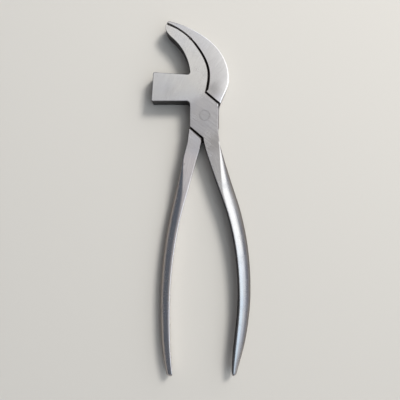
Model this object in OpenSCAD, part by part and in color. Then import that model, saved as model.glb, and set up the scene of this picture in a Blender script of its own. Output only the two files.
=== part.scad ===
// Lasting pincers: two forged steel levers that cross in a half-lap joint and
// turn on one flush rivet. The hammer lever carries the inner jaw, the hammer
// head, the upper lap plate and the right-hand grip. The outer lever carries
// the outer jaw, the lower lap plate and the left-hand grip.
// Millimetres and degrees. The tool lies flat with its jaws closed: the origin
// is on the rivet's axis at the underside, +Y runs to the beak, +Z is up.
// A heading is the angle of a direction in plan, counted from +X.

/* [Joint] */
// Thickness of the joint and of the grips' flat roots
joint_t = 11.5; // [10:0.1:14]
// From the pivot to each lap plate's edge on its own lever's jaw side
plate_back = 9.05; // [8.8:0.05:10]
// From the pivot to each lap plate's other edge, next to the rivet
plate_front = 8.3; // [8:0.05:8.8]
// From the pivot to the middle of the jaw shoulders' gap
jaw_shoulder = 11.25; // [11:0.05:12]
// From the pivot to the middle of the grip shoulders' gap
grip_shoulder = 11.65; // [11.2:0.05:12]
// Direction in which the upper layer's shoulders face
shoulder_turn = 50; // [47:1:53]
// Gap that each shoulder leaves, so that the plates' corners turn past it
shoulder_gap = 0.85; // [0.7:0.05:1.1]
// Running clearance between the two lap plates' faces
lap_clearance = 0.1; // [0.05:0.01:0.2]
// How far left of the pivot the hammer lever's crotch lies
hammer_crotch = 0.9; // [0.6:0.1:1.1]
// How far left of the pivot the outer lever's crotch lies
outer_crotch = 2; // [1.9:0.1:2.4]
// Radius in the inside corner where the hammer lever's plate meets its grip
crotch_fillet = 1.5; // [0.8:0.1:2]

/* [Rivet] */
// Diameter of the rivet's shank
rivet_d = 5.4; // [4.5:0.1:5.8]
// Diameter of the rivet's flush heads
rivet_head_d = 6.3; // [6:0.1:7.5]
// Depth of the conical seat of each rivet head
rivet_head_h = 1.2; // [0.8:0.1:2]
// Radial running clearance of the rivet in the hammer lever
rivet_clearance = 0.05; // [0.03:0.01:0.1]

/* [Parting line between the jaws] */
// How far the parting line's tip reaches to the left of the pivot
tip_reach = 23.5; // [21:0.1:26]
// Height of the parting line's tip above the pivot
tip_rise = 57; // [54:0.1:60]
// Downward slope of the parting line at its tip
tip_slope = 20; // [14:1:26]
// How far the bend lies to the left of the pivot
bend_reach = 5.1; // [4:0.1:6]
// Height of the bend above the pivot
bend_rise = 43.2; // [42:0.1:44.5]
// Downward slope of the parting line at the bend
bend_slope = 54; // [50:1:58]
// How far the throat bulges to the right of the pivot
throat_reach = 2.5; // [2:0.1:3.2]
// Height of the throat's widest place above the pivot
throat_rise = 24.8; // [23:0.1:27]
// How far right of the pivot the parting line ends at the shoulder
corner_reach = 0.9; // [0.5:0.1:1.4]
// Lean of the parting line at the shoulder
corner_lean = 14; // [10:1:18]
// Gap between the closed jaws at their noses
nose_gap = 0.7; // [0.5:0.05:0.9]
// Gap between the closed teeth
bite_gap = 0.4; // [0.3:0.05:0.5]
// Gap between the jaws just behind the teeth
relief_gap = 0.75; // [0.6:0.05:0.9]
// Gap between the jaws at the throat and the shoulder
throat_gap = 1.15; // [1:0.05:1.4]

/* [Teeth] */
// Number of teeth along each jaw
tooth_count = 10; // [7:1:12]
// Distance from one tooth to the next
tooth_pitch = 1.9; // [1.5:0.1:2]
// Height of a tooth from root to crest
tooth_h = 0.6; // [0.3:0.05:0.7]

/* [Outer jaw] */
// Thickness of the outer jaw's nose, square to the parting line
outer_nose = 2.1; // [1.6:0.1:3]
// Length over which the outer jaw's nose is rounded
nose_round = 1.6; // [1:0.1:2.4]
// Downward slope of the outer jaw's back at its nose
crest_slope = 15; // [10:1:20]
// How far the back of the outer jaw stands to the right of the pivot
back_reach = 15; // [14:0.1:16.5]
// Height at which the back stands out most
back_rise = 22.4; // [20:0.1:25]
// How far right of the pivot the back ends at the shoulder
back_foot = 9.7; // [9.3:0.1:10.2]
// Lean of the back at the shoulder
back_lean = 18; // [12:1:24]

/* [Inner jaw] */
// Depth of the inner jaw's nose below the parting line
inner_nose = 2.2; // [1.6:0.1:2.8]
// How far the middle of the hollow edge lies to the left of the pivot
hollow_reach = 18.2; // [17:0.1:19]
// Height of the middle of the hollow edge above the pivot
hollow_rise = 46.4; // [45:0.1:47.5]
// Downward slope at the middle of the hollow edge
hollow_slope = 45; // [42:1:49]
// How far left of the pivot the hollow edge meets the hammer's neck
neck_reach = 8.8; // [8.5:0.1:10]
// Fillet between the inner jaw and the top of the hammer
neck_fillet = 1.6; // [1:0.1:2.4]

/* [Hammer] */
// From the pivot to the middle of the striking face
hammer_reach = 32.4; // [29:0.1:36]
// Height of the hammer's underside above the pivot
hammer_low = 8.8; // [8.6:0.1:10]
// Height of the hammer at its neck
hammer_neck_h = 16.4; // [15:0.1:17.5]
// Height of the hammer at its striking face
hammer_face_h = 18; // [15.5:0.1:20]
// Lean of the striking face from square
face_lean = 3.6; // [0:0.1:6]
// Rounding of the hammer's two corners in plan
hammer_round = 0.8; // [0.5:0.1:2]
// Fillet between the hammer's underside and the lap plate
foot_fillet = 2.2; // [1.5:0.1:2.4]

/* [Ground facets of the head] */
// Fall of each ground facet towards the beak
facet_fall = 1.5; // [0.5:0.1:2.5]
// Direction in which the facets fall
facet_turn = 120; // [115:1:125]
// From the pivot to the facet's crease on the upper side
crease_top = 11.5; // [11:0.1:13]
// From the pivot to the facet's crease on the underside
crease_back = 13.8; // [13.5:0.1:15]

/* [Right grip] */
// How far right of the pivot the grip's inner edge starts
right_root_reach = 0.6; // [0.3:0.1:1.2]
// Depth of that start below the pivot
right_root_drop = 20.5; // [19.5:0.1:22]
// Lean of the inner edge from straight down at its start
right_root_lean = 17; // [14:1:20]
// How far right of the pivot the inner edge passes the knee
right_knee_reach = 11.4; // [10.5:0.1:12.5]
// Lean of the inner edge from straight down at the knee
right_knee_lean = 20; // [17:1:23]
// How far right of the pivot the inner edge bows out
right_bow_reach = 21.2; // [19:0.1:24]
// Depth below the pivot at which it bows out most
right_bow_drop = 112; // [100:0.5:124]
// How far right of the pivot the inner edge ends
right_tip_reach = 17.1; // [14:0.1:20]
// Lean of the inner edge back inwards at its end
right_tip_lean = 1; // [0:1:8]
// Width of the grip at its root
right_root_w = 9.1; // [8.6:0.1:9.8]
// Width of the grip at the knee
right_knee_w = 8.6; // [7:0.1:10]
// Width of the grip where it bows out
right_bow_w = 7.4; // [5:0.1:9]
// Width of the grip before its end
right_wrist_w = 6.3; // [4.5:0.1:8]
// Width of the grip at its end
right_tip_w = 2.8; // [2:0.1:4.5]

/* [Left grip] */
// How far left of the pivot the grip's inner edge starts
left_root_reach = 3; // [2.5:0.1:3.5]
// Depth of that start below the pivot
left_root_drop = 20; // [19:0.1:21.5]
// Lean of the inner edge from straight down at its start
left_root_lean = 17; // [14:1:20]
// How far left of the pivot the inner edge passes the knee
left_knee_reach = 12.1; // [11:0.1:13.5]
// Lean of the inner edge from straight down at the knee
left_knee_lean = 16; // [13:1:19]
// How far left of the pivot the inner edge bows out
left_bow_reach = 21.8; // [19:0.1:25]
// Depth below the pivot at which it bows out most
left_bow_drop = 125; // [112:0.5:135]
// How far left of the pivot the inner edge ends
left_tip_reach = 20; // [16:0.1:23]
// Lean of the inner edge back inwards at its end
left_tip_lean = 7; // [0:1:12]
// Width of the grip at its root
left_root_w = 8.3; // [7.8:0.1:9]
// Width of the grip at the knee
left_knee_w = 7.2; // [6:0.1:9]
// Width of the grip where it bows out
left_bow_w = 5.9; // [5:0.1:8]
// Width of the grip before its end
left_wrist_w = 5.3; // [4:0.1:7]
// Width of the grip at its end
left_tip_w = 3.7; // [2:0.1:4.5]

/* [Both grips] */
// Depth of the knee below the pivot
knee_drop = 52.4; // [47:0.1:58]
// Depth of the grips' ends below the pivot
tip_drop = 162.6; // [150:0.1:175]
// Length over which the flat faces run out into the round section
flat_run = 42; // [30:1:60]
// Thickness of the grips where they bow out
bow_t = 9.6; // [7:0.1:11]
// Thickness of the grips before their ends
wrist_t = 8.6; // [6:0.1:10]
// Thickness of the grips at their ends
end_t = 5.6; // [4:0.1:8]
// Chamfer along the grips' inner edges
grip_chamfer = 0.8; // [0.4:0.1:1]
// Length over which that chamfer widens from the roots
chamfer_run = 24; // [12:1:40]
// Length over which the ends are rounded off
end_round = 2.2; // [1:0.1:3]

/* [Hidden] */
$fn = 64;

// The plates meet at half the thickness, less half the running clearance
lap_z = joint_t / 2;
lap_half = lap_clearance / 2;
// The lower layer's shoulders mirror the upper layer's
upper_turn = shoulder_turn;
lower_turn = 180 - shoulder_turn;
plate_reach_jaw = jaw_shoulder - shoulder_gap / 2;
plate_reach_grip = grip_shoulder - shoulder_gap / 2;
// Pieces in one curve between two waypoints
curve_steps = 12;
// Distance between the outline's points behind the teeth
relief_step = 2.4;
// Length in which the jaws' gap changes behind the noses and the teeth
nose_run = 8;
relief_run = 3;
// Shares of a grip's length at which its widths and thicknesses are given
knee_share = 0.25;
bow_share = 0.7;
wrist_share = 0.86;
// Roundness of the grip's outer edge at its root and past the flat's end
root_roundness = 0.06;
full_roundness = 0.97;
// Rings along a grip, rings round its end, and steps over its rounded edge
ring_count = 40;
end_ring_count = 4;
edge_steps = 8;
// Chamfer of the grips' inner edges at their roots
root_chamfer = 0.1;
// Length of the grips' tongues inside the plates, and of their start under the plates' ends
tongue = 3;
root_cover = 0.7;
// How far the tongues, the plates' ends and the grips' faces lie inside what covers them
tongue_inset = 0.6;
end_inset = 0.05;
face_inset = 0.02;
// Share of a grip's width, from its inner wall, about which its end is rounded off
end_middle = 0.35;
// Points in a small fillet
fillet_steps = 5;
// Turn of the inner jaw's edge where its nose begins
nose_break = 45;
// Lean of the hollow edge from straight down where it meets the hammer's neck
neck_lean = 6;
// Heading of the outer lever's edge from its grip's root up to the shoulder
root_heading = 82;
// Half the extent of the blocks that cut the recesses and the facets
reach = 90;
// How far a cutting block stands out past the face that it cuts
edge = 1;

// Plain geometry in plan

function ahead(a) = [cos(a), sin(a)];

function turned(a) = (a + 540) % 360 - 180;

// Arm of the smooth curve between two waypoints, as on a circle
function arm(p, q) = norm([q.x - p.x, q.y - p.y]) / 3 / pow(cos(turned(q.z - p.z) / 4), 2);

// Point at share t of the smooth curve between two waypoints [x, y, heading]
function bow(p, q, t) =
    let (a = [p.x, p.y], d = [q.x, q.y])
    let (b = a + arm(p, q) * ahead(p.z), c = d - arm(p, q) * ahead(q.z))
    pow(1 - t, 3) * a + 3 * t * pow(1 - t, 2) * b + 3 * t * t * (1 - t) * c + pow(t, 3) * d;

// Points of the smooth curve through a list of waypoints
function curve(way, steps = curve_steps) = [
    for (i = [0:len(way) - 2], k = [0:steps - 1]) bow(way[i], way[i + 1], k / steps),
    bow(way[len(way) - 2], way[len(way) - 1], 1)
];

// Length of a path up to each of its points
function lengths(path) = [
    for (
        i = 0, s = 0;
        i < len(path);
        s = i + 1 < len(path) ? s + norm(path[i + 1] - path[i]) : s, i = i + 1
    ) s
];

// A path as two tables, x and y over length
function measured(path) =
    let (s = lengths(path))
    [for (axis = [0:1]) [for (i = [0:len(path) - 1]) [s[i], path[i][axis]]]];

function span(tables) = tables[0][len(tables[0]) - 1][0];

function at(tables, s) = [lookup(s, tables[0]), lookup(s, tables[1])];

// Heading of a measured path at length s
function heading_at(tables, s, h = 0.5) =
    let (d = at(tables, min(s + h, span(tables))) - at(tables, max(s - h, 0)))
    atan2(d.y, d.x);

// Where a line from p with heading a meets the line at distance d that faces turn
function meet(p, a, turn, d) = p + ahead(a) * (d - p * ahead(turn)) / (ahead(a) * ahead(turn));

// Waypoints before and after a corner that a fillet of radius r rounds off
function rounded(corner, a, b, r) =
    let (cut = r * abs(tan(turned(b - a) / 2)))
    let (start = corner - cut * ahead(a), end = corner + cut * ahead(b))
    [[start.x, start.y, a], [end.x, end.y, b]];

// Smooth value at u from a table of [share, value] rows
function eased(table, u) =
    let (n = len(table) - 1)
    let (k = max([for (i = [0:n - 1]) if (table[i][0] <= u) i]))
    let (a = table[k], b = table[k + 1], w = b[0] - a[0], t = (u - a[0]) / w)
    let (m0 = slope(table, k) * w, m1 = slope(table, k + 1) * w)
    a[1] * (1 + 2 * t) * pow(1 - t, 2) + m0 * t * pow(1 - t, 2)
        + b[1] * t * t * (3 - 2 * t) - m1 * t * t * (1 - t);

function slope(table, k) =
    let (a = table[max(k - 1, 0)], b = table[min(k + 1, len(table) - 1)])
    (b[1] - a[1]) / (b[0] - a[0]);

// The parting line, from the noses to the shoulder's corner
corner = meet([corner_reach, 0], 90, upper_turn, jaw_shoulder);
parting = measured(curve([
    [-tip_reach, tip_rise, -tip_slope],
    [-bend_reach, bend_rise, -bend_slope],
    [throat_reach, throat_rise, -90],
    [corner.x, corner.y, -90 - corner_lean]
]));
bite_run = tooth_count * tooth_pitch;
relief_count = round((span(parting) - bite_run) / relief_step);
jaw_gaps = [
    [0, nose_gap],
    [nose_run, bite_gap],
    [bite_run, bite_gap],
    [bite_run + relief_run, relief_gap],
    [span(parting), throat_gap]
];

// Where the jaws' edges have points: each crest and root, then evenly to the corner
parting_stops = concat(
    [for (i = [0:2 * tooth_count]) i * tooth_pitch / 2],
    [for (i = [1:relief_count]) bite_run + (span(parting) - bite_run) * i / relief_count]
);

// Offset of a stop from the parting line: the teeth swing to either side of it
function zigzag(i) = i == 0 || i >= 2 * tooth_count ? 0 : (i % 2 == 0 ? -1 : 1) * tooth_h / 2;

// One jaw's edge: side is 1 for the outer jaw and -1 for the inner jaw
function jaw_edge(side) = [
    for (i = [0:len(parting_stops) - 1])
        let (s = parting_stops[i])
        let (away = ahead(heading_at(parting, s) + 90))
        at(parting, s) + away * (zigzag(i) + side * lookup(s, jaw_gaps) / 2)
];

inner_edge = jaw_edge(-1);
outer_edge = jaw_edge(1);
last_stop = len(parting_stops) - 1;
tip = at(parting, 0);

// The grips' inner edges, and their widths and thickness over their length

right_spine = measured(curve([
    [right_root_reach, -right_root_drop, right_root_lean - 90],
    [right_knee_reach, -knee_drop, right_knee_lean - 90],
    [right_bow_reach, -right_bow_drop, -90],
    [right_tip_reach, -tip_drop, -90 - right_tip_lean]
]));
left_spine = measured(curve([
    [-left_root_reach, -left_root_drop, -90 - left_root_lean],
    [-left_knee_reach, -knee_drop, -90 - left_knee_lean],
    [-left_bow_reach, -left_bow_drop, -90],
    [-left_tip_reach, -tip_drop, left_tip_lean - 90]
]));
right_widths = [
    [0, right_root_w],
    [knee_share, right_knee_w],
    [bow_share, right_bow_w],
    [wrist_share, right_wrist_w],
    [1, right_tip_w]
];
left_widths = [
    [0, left_root_w],
    [knee_share, left_knee_w],
    [bow_share, left_bow_w],
    [wrist_share, left_wrist_w],
    [1, left_tip_w]
];
grip_thicknesses = [
    [0, joint_t],
    [knee_share, joint_t],
    [bow_share, bow_t],
    [wrist_share, wrist_t],
    [1, end_t]
];

// End of a plate over its grip's root, at distance n from the grip's inner edge
function plate_end(spine, side, n) =
    at(spine, root_cover) + n * ahead(heading_at(spine, root_cover) + side * 90);

right_end = plate_end(right_spine, 1, end_inset);
right_end_out = plate_end(right_spine, 1, right_root_w - end_inset);
left_end = plate_end(left_spine, -1, end_inset);
left_end_out = plate_end(left_spine, -1, left_root_w - end_inset);

// Outline of the hammer lever down to its grip, with its lap plate in the upper layer

hammer_neck = [-neck_reach, hammer_low + hammer_neck_h];
face_foot = [-hammer_reach - hammer_face_h / 2 * tan(face_lean), hammer_low];
face_head = face_foot + hammer_face_h * [tan(face_lean), 1];
face_heading = -90 - face_lean;
top_rise = atan2(face_head.y - hammer_neck.y, hammer_neck.x - face_head.x);
neck_way = rounded(hammer_neck, neck_lean - 90, -180 - top_rise, neck_fillet);
nose_way = [
    [inner_edge[0].x, inner_edge[0].y, 180 - tip_slope + nose_break],
    [tip.x - inner_nose * sin(tip_slope), tip.y - inner_nose * cos(tip_slope), -90],
    [-hollow_reach, hollow_rise, -hollow_slope]
];
crotch_corner = meet([-hammer_crotch, 0], 90, upper_turn + 180, plate_reach_grip);
hammer_outline = concat(
    curve(concat(nose_way, neck_way)),
    curve(rounded(face_head, -180 - top_rise, face_heading, hammer_round), fillet_steps),
    curve(rounded(face_foot, face_heading, 0, hammer_round), fillet_steps),
    curve(rounded([-plate_back, hammer_low], 0, -90, foot_fillet), fillet_steps),
    [meet([-plate_back, 0], 90, upper_turn + 180, plate_reach_grip)],
    curve(rounded(crotch_corner, upper_turn - 90, -90, crotch_fillet), fillet_steps),
    [right_end, right_end_out],
    [meet([plate_front, 0], 90, lower_turn + 180, grip_shoulder + shoulder_gap / 2)],
    [meet([plate_front, 0], 90, upper_turn, plate_reach_jaw)],
    [meet(inner_edge[last_stop], -90 - corner_lean, upper_turn, plate_reach_jaw)],
    [for (i = [last_stop:-1:1]) inner_edge[i]]
);

// Outline of the outer lever down to its grip, with its lap plate in the lower layer

foot = meet([back_foot, 0], 90, upper_turn, jaw_shoulder + shoulder_gap / 2);
crest = tip + outer_nose * ahead(90 - tip_slope) + nose_round * ahead(-tip_slope);
back_way = [
    [plate_back, 0, 90],
    [foot.x, foot.y, 90 - back_lean],
    [back_reach, back_rise, 90],
    [crest.x, crest.y, 180 - crest_slope],
    [outer_edge[0].x, outer_edge[0].y, -90 - tip_slope]
];
// Points of the outer jaw's edge down to its lap plate's shoulder
outer_kept = [for (p = outer_edge) if (p * ahead(lower_turn) > plate_reach_jaw) p];
root_shoulder = meet(left_end_out, root_heading, upper_turn + 180, grip_shoulder + shoulder_gap / 2);
outer_outline = concat(
    curve(back_way),
    [for (i = [1:len(outer_kept) - 1]) outer_kept[i]],
    [meet(outer_kept[len(outer_kept) - 1], -90 - corner_lean, lower_turn, plate_reach_jaw)],
    [meet([-plate_front, 0], 90, lower_turn, plate_reach_jaw)],
    [meet(root_shoulder, upper_turn, 180, plate_front)],
    [root_shoulder, left_end_out, left_end],
    [meet([-outer_crotch, 0], 90, lower_turn + 180, plate_reach_grip)],
    [meet([plate_back, 0], 90, lower_turn + 180, plate_reach_grip)]
);

// A band across the joint, between the jaw shoulder and the grip shoulder that face turn
module lap_recess(turn, z_low) {
    low = grip_shoulder + shoulder_gap / 2;
    high = jaw_shoulder + shoulder_gap / 2;
    translate([0, 0, z_low]) rotate(turn) translate([-low, -reach, 0])
        cube([low + high, 2 * reach, lap_z + lap_half + edge]);
}

// What the grinding takes off the head's two faces, beyond the creases
module facet_cut(crease) {
    rotate(facet_turn) translate([crease, -reach, 0]) rotate([0, facet_fall, 0])
        cube([reach, 2 * reach, joint_t]);
}

module head_facets() {
    translate([0, 0, joint_t]) facet_cut(crease_top);
    mirror([0, 0, 1]) facet_cut(crease_back);
}

// The rivet's body, grown all round by a clearance
module rivet_form(grow = 0) {
    shank_r = rivet_d / 2 + grow;
    head_r = rivet_head_d / 2 + grow;
    cylinder(r = shank_r, h = joint_t);
    cylinder(r1 = head_r, r2 = shank_r, h = rivet_head_h);
    translate([0, 0, joint_t - rivet_head_h]) cylinder(r1 = shank_r, r2 = head_r, h = rivet_head_h);
}

// Section of a grip, from its inner wall over its upper half to its outer edge,
// as [distance from the inner wall, height above mid-thickness]
function upper_section(w, t, r, c) = concat(
    [[0, t / 2 - c], [c, t / 2]],
    [for (k = [0:edge_steps])
        let (a = r * (w - c), b = r * t / 2, turn = 90 * k / edge_steps)
        [w - a + a * sin(turn), t / 2 - b + b * cos(turn)]]
);

function section(w, t, r, c) =
    let (half = upper_section(w, t, r, c), n = len(half))
    concat(half, [for (k = [n - 1:-1:0]) [half[k].x, -half[k].y]]);

// How much of its section a ring keeps at length s of a grip of length l
function end_share(s, l) = s <= l - end_round ? 1 : sqrt(1 - pow((s - l + end_round) / end_round, 2));

// Points of one ring: side is 1 for the right grip and -1 for the left one
function grip_ring(spine, widths, side, s) =
    let (l = span(spine), u = s / l, p = at(spine, s))
    let (w = eased(widths, u), t = min(joint_t, eased(grip_thicknesses, u)) - 2 * face_inset)
    let (r = lookup(s, [[0, root_roundness], [flat_run, full_roundness]]))
    let (c = lookup(s, [[0, root_chamfer], [chamfer_run, grip_chamfer]]))
    let (out = ahead(heading_at(spine, s) + side * 90), keep = end_share(s, l))
    [for (q = section(w, t, r, c))
        let (n = w * end_middle + (q.x - w * end_middle) * keep)
        [p.x + out.x * n, p.y + out.y * n, joint_t / 2 + q.y * keep]];

// The ring that ends a grip's tongue inside its plate
function tongue_ring(spine, widths, side) =
    let (p = at(spine, 0) - tongue * ahead(heading_at(spine, 0)), w = widths[0][1] - 2 * tongue_inset)
    let (out = ahead(heading_at(spine, 0) + side * 90), t = joint_t - 2 * tongue_inset)
    [for (q = section(w, t, root_roundness, root_chamfer))
        [p.x + out.x * (q.x + tongue_inset), p.y + out.y * (q.x + tongue_inset), joint_t / 2 + q.y]];

// A grip as one closed skin over its rings
module grip(spine, widths, side) {
    l = span(spine);
    straight = l - end_round;
    stops = concat(
        [for (i = [0:ring_count - 1]) straight * i / (ring_count - 1)],
        [for (i = [1:end_ring_count]) straight + end_round * sin(90 * i / (end_ring_count + 0.5))]
    );
    rings = concat(
        [tongue_ring(spine, widths, side)],
        [for (s = stops) grip_ring(spine, widths, side, s)]
    );
    n = len(rings[0]);
    last = len(rings) - 1;
    walls = [
        for (i = [0:last - 1], k = [0:n - 1])
            let (a = i * n + k, b = i * n + (k + 1) % n)
            each [[a, b, a + n], [b, b + n, a + n]]
    ];
    caps = [[for (k = [n - 1:-1:0]) k], [for (k = [0:n - 1]) last * n + k]];
    faces = concat(walls, caps);
    polyhedron(
        points = [for (ring = rings) each ring],
        faces = side > 0 ? faces : [for (f = faces) [for (k = [len(f) - 1:-1:0]) f[k]]]
    );
}

module hammer_lever() {
    color("gainsboro") {
        difference() {
            linear_extrude(joint_t) polygon(hammer_outline);
            lap_recess(lower_turn, -edge);
            head_facets();
            rivet_form(rivet_clearance);
        }
        grip(right_spine, right_widths, 1);
    }
}

module outer_lever() {
    color("silver") {
        difference() {
            linear_extrude(joint_t) polygon(outer_outline);
            lap_recess(upper_turn, lap_z - lap_half);
            translate([-outer_crotch, -reach, lap_z - lap_half]) cube(reach);
            head_facets();
            rivet_form();
        }
        grip(left_spine, left_widths, -1);
    }
}

module pivot_rivet() {
    color("darkgray") rivet_form();
}

hammer_lever();
outer_lever();
pivot_rivet();
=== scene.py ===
import logging
import math
from dataclasses import dataclass, field
from enum import Enum
from typing import Any, Callable

import bmesh
import bpy
import numpy as np
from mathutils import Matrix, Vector
from mathutils.geometry import delaunay_2d_cdt


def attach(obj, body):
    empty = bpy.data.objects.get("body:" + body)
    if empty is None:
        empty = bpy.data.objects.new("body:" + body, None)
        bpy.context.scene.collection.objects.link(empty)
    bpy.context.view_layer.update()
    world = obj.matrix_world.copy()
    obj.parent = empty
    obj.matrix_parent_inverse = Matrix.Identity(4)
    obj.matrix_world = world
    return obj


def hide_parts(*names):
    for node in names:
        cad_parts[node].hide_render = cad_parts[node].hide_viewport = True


# Lasting pincers of ground steel, lying closed on a pale floor.
# Sizes are in millimetres and degrees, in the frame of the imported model: the rivet's axis
# is Z, the beak is at +Y, and a heading is the angle of a direction in plan from +X.
# Meshes are made in metres.

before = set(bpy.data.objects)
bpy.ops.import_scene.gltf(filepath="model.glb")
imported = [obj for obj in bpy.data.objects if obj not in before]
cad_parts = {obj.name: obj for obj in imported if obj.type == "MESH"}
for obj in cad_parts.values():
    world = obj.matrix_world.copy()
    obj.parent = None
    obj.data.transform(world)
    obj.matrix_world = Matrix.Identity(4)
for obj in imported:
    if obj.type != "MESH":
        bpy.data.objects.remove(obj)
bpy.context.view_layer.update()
LOG = logging.getLogger("pincers")
MM = 0.001

Way = tuple[float, float, float]
Heights = Callable[[np.ndarray], np.ndarray]


# Plain geometry in plan


def ahead(heading: float) -> np.ndarray:
    """Unit step in a heading."""
    turn = math.radians(heading)
    return np.array((math.cos(turn), math.sin(turn)))


def turned(angle: float) -> float:
    """The same turn, between -180 and 180 degrees."""
    return (angle + 540) % 360 - 180


def bow(p: Way, q: Way, steps: int) -> np.ndarray:
    """Smooth curve between two waypoints, without its last point.

    Args:
        p: First waypoint, x, y and heading.
        q: Second waypoint.
        steps: Number of points.

    Returns:
        The points.
    """
    a, d = np.array(p[:2]), np.array(q[:2])
    arm = np.linalg.norm(d - a) / 3 / math.cos(math.radians(turned(q[2] - p[2]) / 4)) ** 2
    b, c = a + arm * ahead(p[2]), d - arm * ahead(q[2])
    t = (np.arange(steps) / steps)[:, None]
    return (1 - t) ** 3 * a + 3 * t * (1 - t) ** 2 * b + 3 * t * t * (1 - t) * c + t**3 * d


def curve(way: list[Way], steps: int = 40) -> np.ndarray:
    """Smooth curve through waypoints.

    Args:
        way: The waypoints.
        steps: Points between two waypoints.

    Returns:
        The points.
    """
    spans = [bow(p, q, steps) for p, q in zip(way[:-1], way[1:])]
    return np.vstack(spans + [np.array([way[-1][:2]])])


def meet(p: Any, heading: float, turn: float, distance: float) -> np.ndarray:
    """Where a line meets another, which faces a direction at a distance from the pivot.

    Args:
        p: A point of the first line.
        heading: Heading of the first line.
        turn: Direction in which the second line faces.
        distance: Distance of the second line from the pivot.

    Returns:
        The meeting point.
    """
    p = np.asarray(p, float)
    return p + ahead(heading) * (distance - p @ ahead(turn)) / (ahead(heading) @ ahead(turn))


def rounded(corner: np.ndarray, a: float, b: float, radius: float, steps: int = 8) -> np.ndarray:
    """A corner of a path, rounded off.

    Args:
        corner: The corner.
        a: Heading into it.
        b: Heading out of it.
        radius: Radius of the rounding.
        steps: Points of the rounding.

    Returns:
        The rounding's points.
    """
    cut = radius * abs(math.tan(math.radians(turned(b - a) / 2)))
    start, end = corner - cut * ahead(a), corner + cut * ahead(b)
    return curve([(start[0], start[1], a), (end[0], end[1], b)], steps)


def distances(places: np.ndarray, path: np.ndarray) -> np.ndarray:
    """Distance of each place from a path.

    Args:
        places: The places.
        path: Points of the path.

    Returns:
        The distances.
    """
    start, step = path[:-1], path[1:] - path[:-1]
    square = np.maximum((step**2).sum(1), 1e-12)
    best = np.full(len(places), np.inf)
    for block in range(0, len(places), 500):
        gap = places[block : block + 500, None, :] - start[None]
        t = np.clip((gap * step).sum(2) / square, 0, 1)
        best[block : block + 500] = np.sqrt(((gap - t[..., None] * step) ** 2).sum(2)).min(1)
    return best


def inside(places: np.ndarray, loop: np.ndarray) -> np.ndarray:
    """Tell which places lie inside a closed loop.

    Args:
        places: The places.
        loop: The loop's points.

    Returns:
        True for each place inside.
    """
    a, b = loop, np.roll(loop, -1, axis=0)
    x, y = places[:, :1], places[:, 1:]
    crosses = (a[:, 1] > y) != (b[:, 1] > y)
    rise = np.where(b[:, 1] == a[:, 1], 1e-12, b[:, 1] - a[:, 1])
    reach = a[:, 0] + (y - a[:, 1]) * (b[:, 0] - a[:, 0]) / rise
    return (crosses & (x < reach)).sum(1) % 2 == 1


def untangled(row: np.ndarray, closed: bool, window: int = 80) -> tuple[np.ndarray, np.ndarray]:
    """Draw each small loop in which a row crosses itself together into the crossing.

    Args:
        row: The row's points.
        closed: Whether the row is a loop.
        window: How many steps apart two stretches may lie that cross.

    Returns:
        The new points, and for each point the number of the one that it now shares its place with.
    """
    n = len(row)
    count = n if closed else n - 1
    step = (np.roll(row, -1, axis=0) - row)[:count]
    crossings = []
    for reach in range(2, window):
        i = np.arange(count if closed else max(count - reach, 0))
        k = (i + reach) % n
        u, v, gap = step[i], step[k], row[k] - row[i]
        area = u[:, 0] * v[:, 1] - u[:, 1] * v[:, 0]
        safe = np.where(np.abs(area) < 1e-12, 1.0, area)
        s = (gap[:, 0] * v[:, 1] - gap[:, 1] * v[:, 0]) / safe
        t = (gap[:, 0] * u[:, 1] - gap[:, 1] * u[:, 0]) / safe
        hit = (np.abs(area) > 1e-12) & (s >= 0) & (s <= 1) & (t >= 0) & (t <= 1)
        crossings += [(reach, j, row[j] + step[j] * s[j]) for j in np.nonzero(hit)[0]]
    fixed, same = row.copy(), np.arange(n)
    for reach, j, place in sorted(crossings, key=lambda crossing: -crossing[0]):
        span = (j + 1 + np.arange(reach)) % n
        if (same[span] == span).all():
            fixed[span], same[span] = place, span[0]
    return fixed, same


class Trace:
    """A path in plan, measured along its length."""

    def __init__(self, points: np.ndarray) -> None:
        """Measure a path.

        Args:
            points: Its points.
        """
        self.points = points
        steps = np.linalg.norm(np.diff(points, axis=0), axis=1)
        self.lengths = np.concatenate(([0.0], np.cumsum(steps)))
        self.span = float(self.lengths[-1])

    def at(self, s: float) -> np.ndarray:
        """The point at a length."""
        return np.array([np.interp(s, self.lengths, self.points[:, axis]) for axis in (0, 1)])

    def heading(self, s: float, reach: float = 0.5) -> float:
        """The heading at a length, in degrees."""
        step = self.at(min(s + reach, self.span)) - self.at(max(s - reach, 0.0))
        return math.degrees(math.atan2(step[1], step[0]))


@dataclass(frozen=True)
class Edge:
    """How an edge is ground off: how far in, how far down, how full, how much painted shade darkens its wall, and how
    far up the edge that painted shade reaches.
    """

    inset: float = 0.2
    drop: float = 0.2
    fullness: float = 2.0
    dark: float = 0.5
    reach: float = 0.5

    STEPS = 10

    def rows(self) -> tuple[np.ndarray, np.ndarray]:
        """Steps over the edge, from the wall to the face.

        Returns:
            How far in and how far down each step lies.
        """
        turn = np.linspace(0, math.pi / 2, self.STEPS + 1)
        share = 2 / self.fullness
        near, far = np.clip(np.cos(turn), 0, 1), np.clip(np.sin(turn), 0, 1)
        return self.inset * (1 - near**share), self.drop * (1 - far**share)

    def blend(self, other: "Edge", t: float) -> "Edge":
        """The edge at share t of the way to another one."""
        own = (self.inset, self.drop, self.fullness, self.dark, self.reach)
        theirs = (other.inset, other.drop, other.fullness, other.dark, other.reach)
        return Edge(*(a + (b - a) * t for a, b in zip(own, theirs)))


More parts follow.
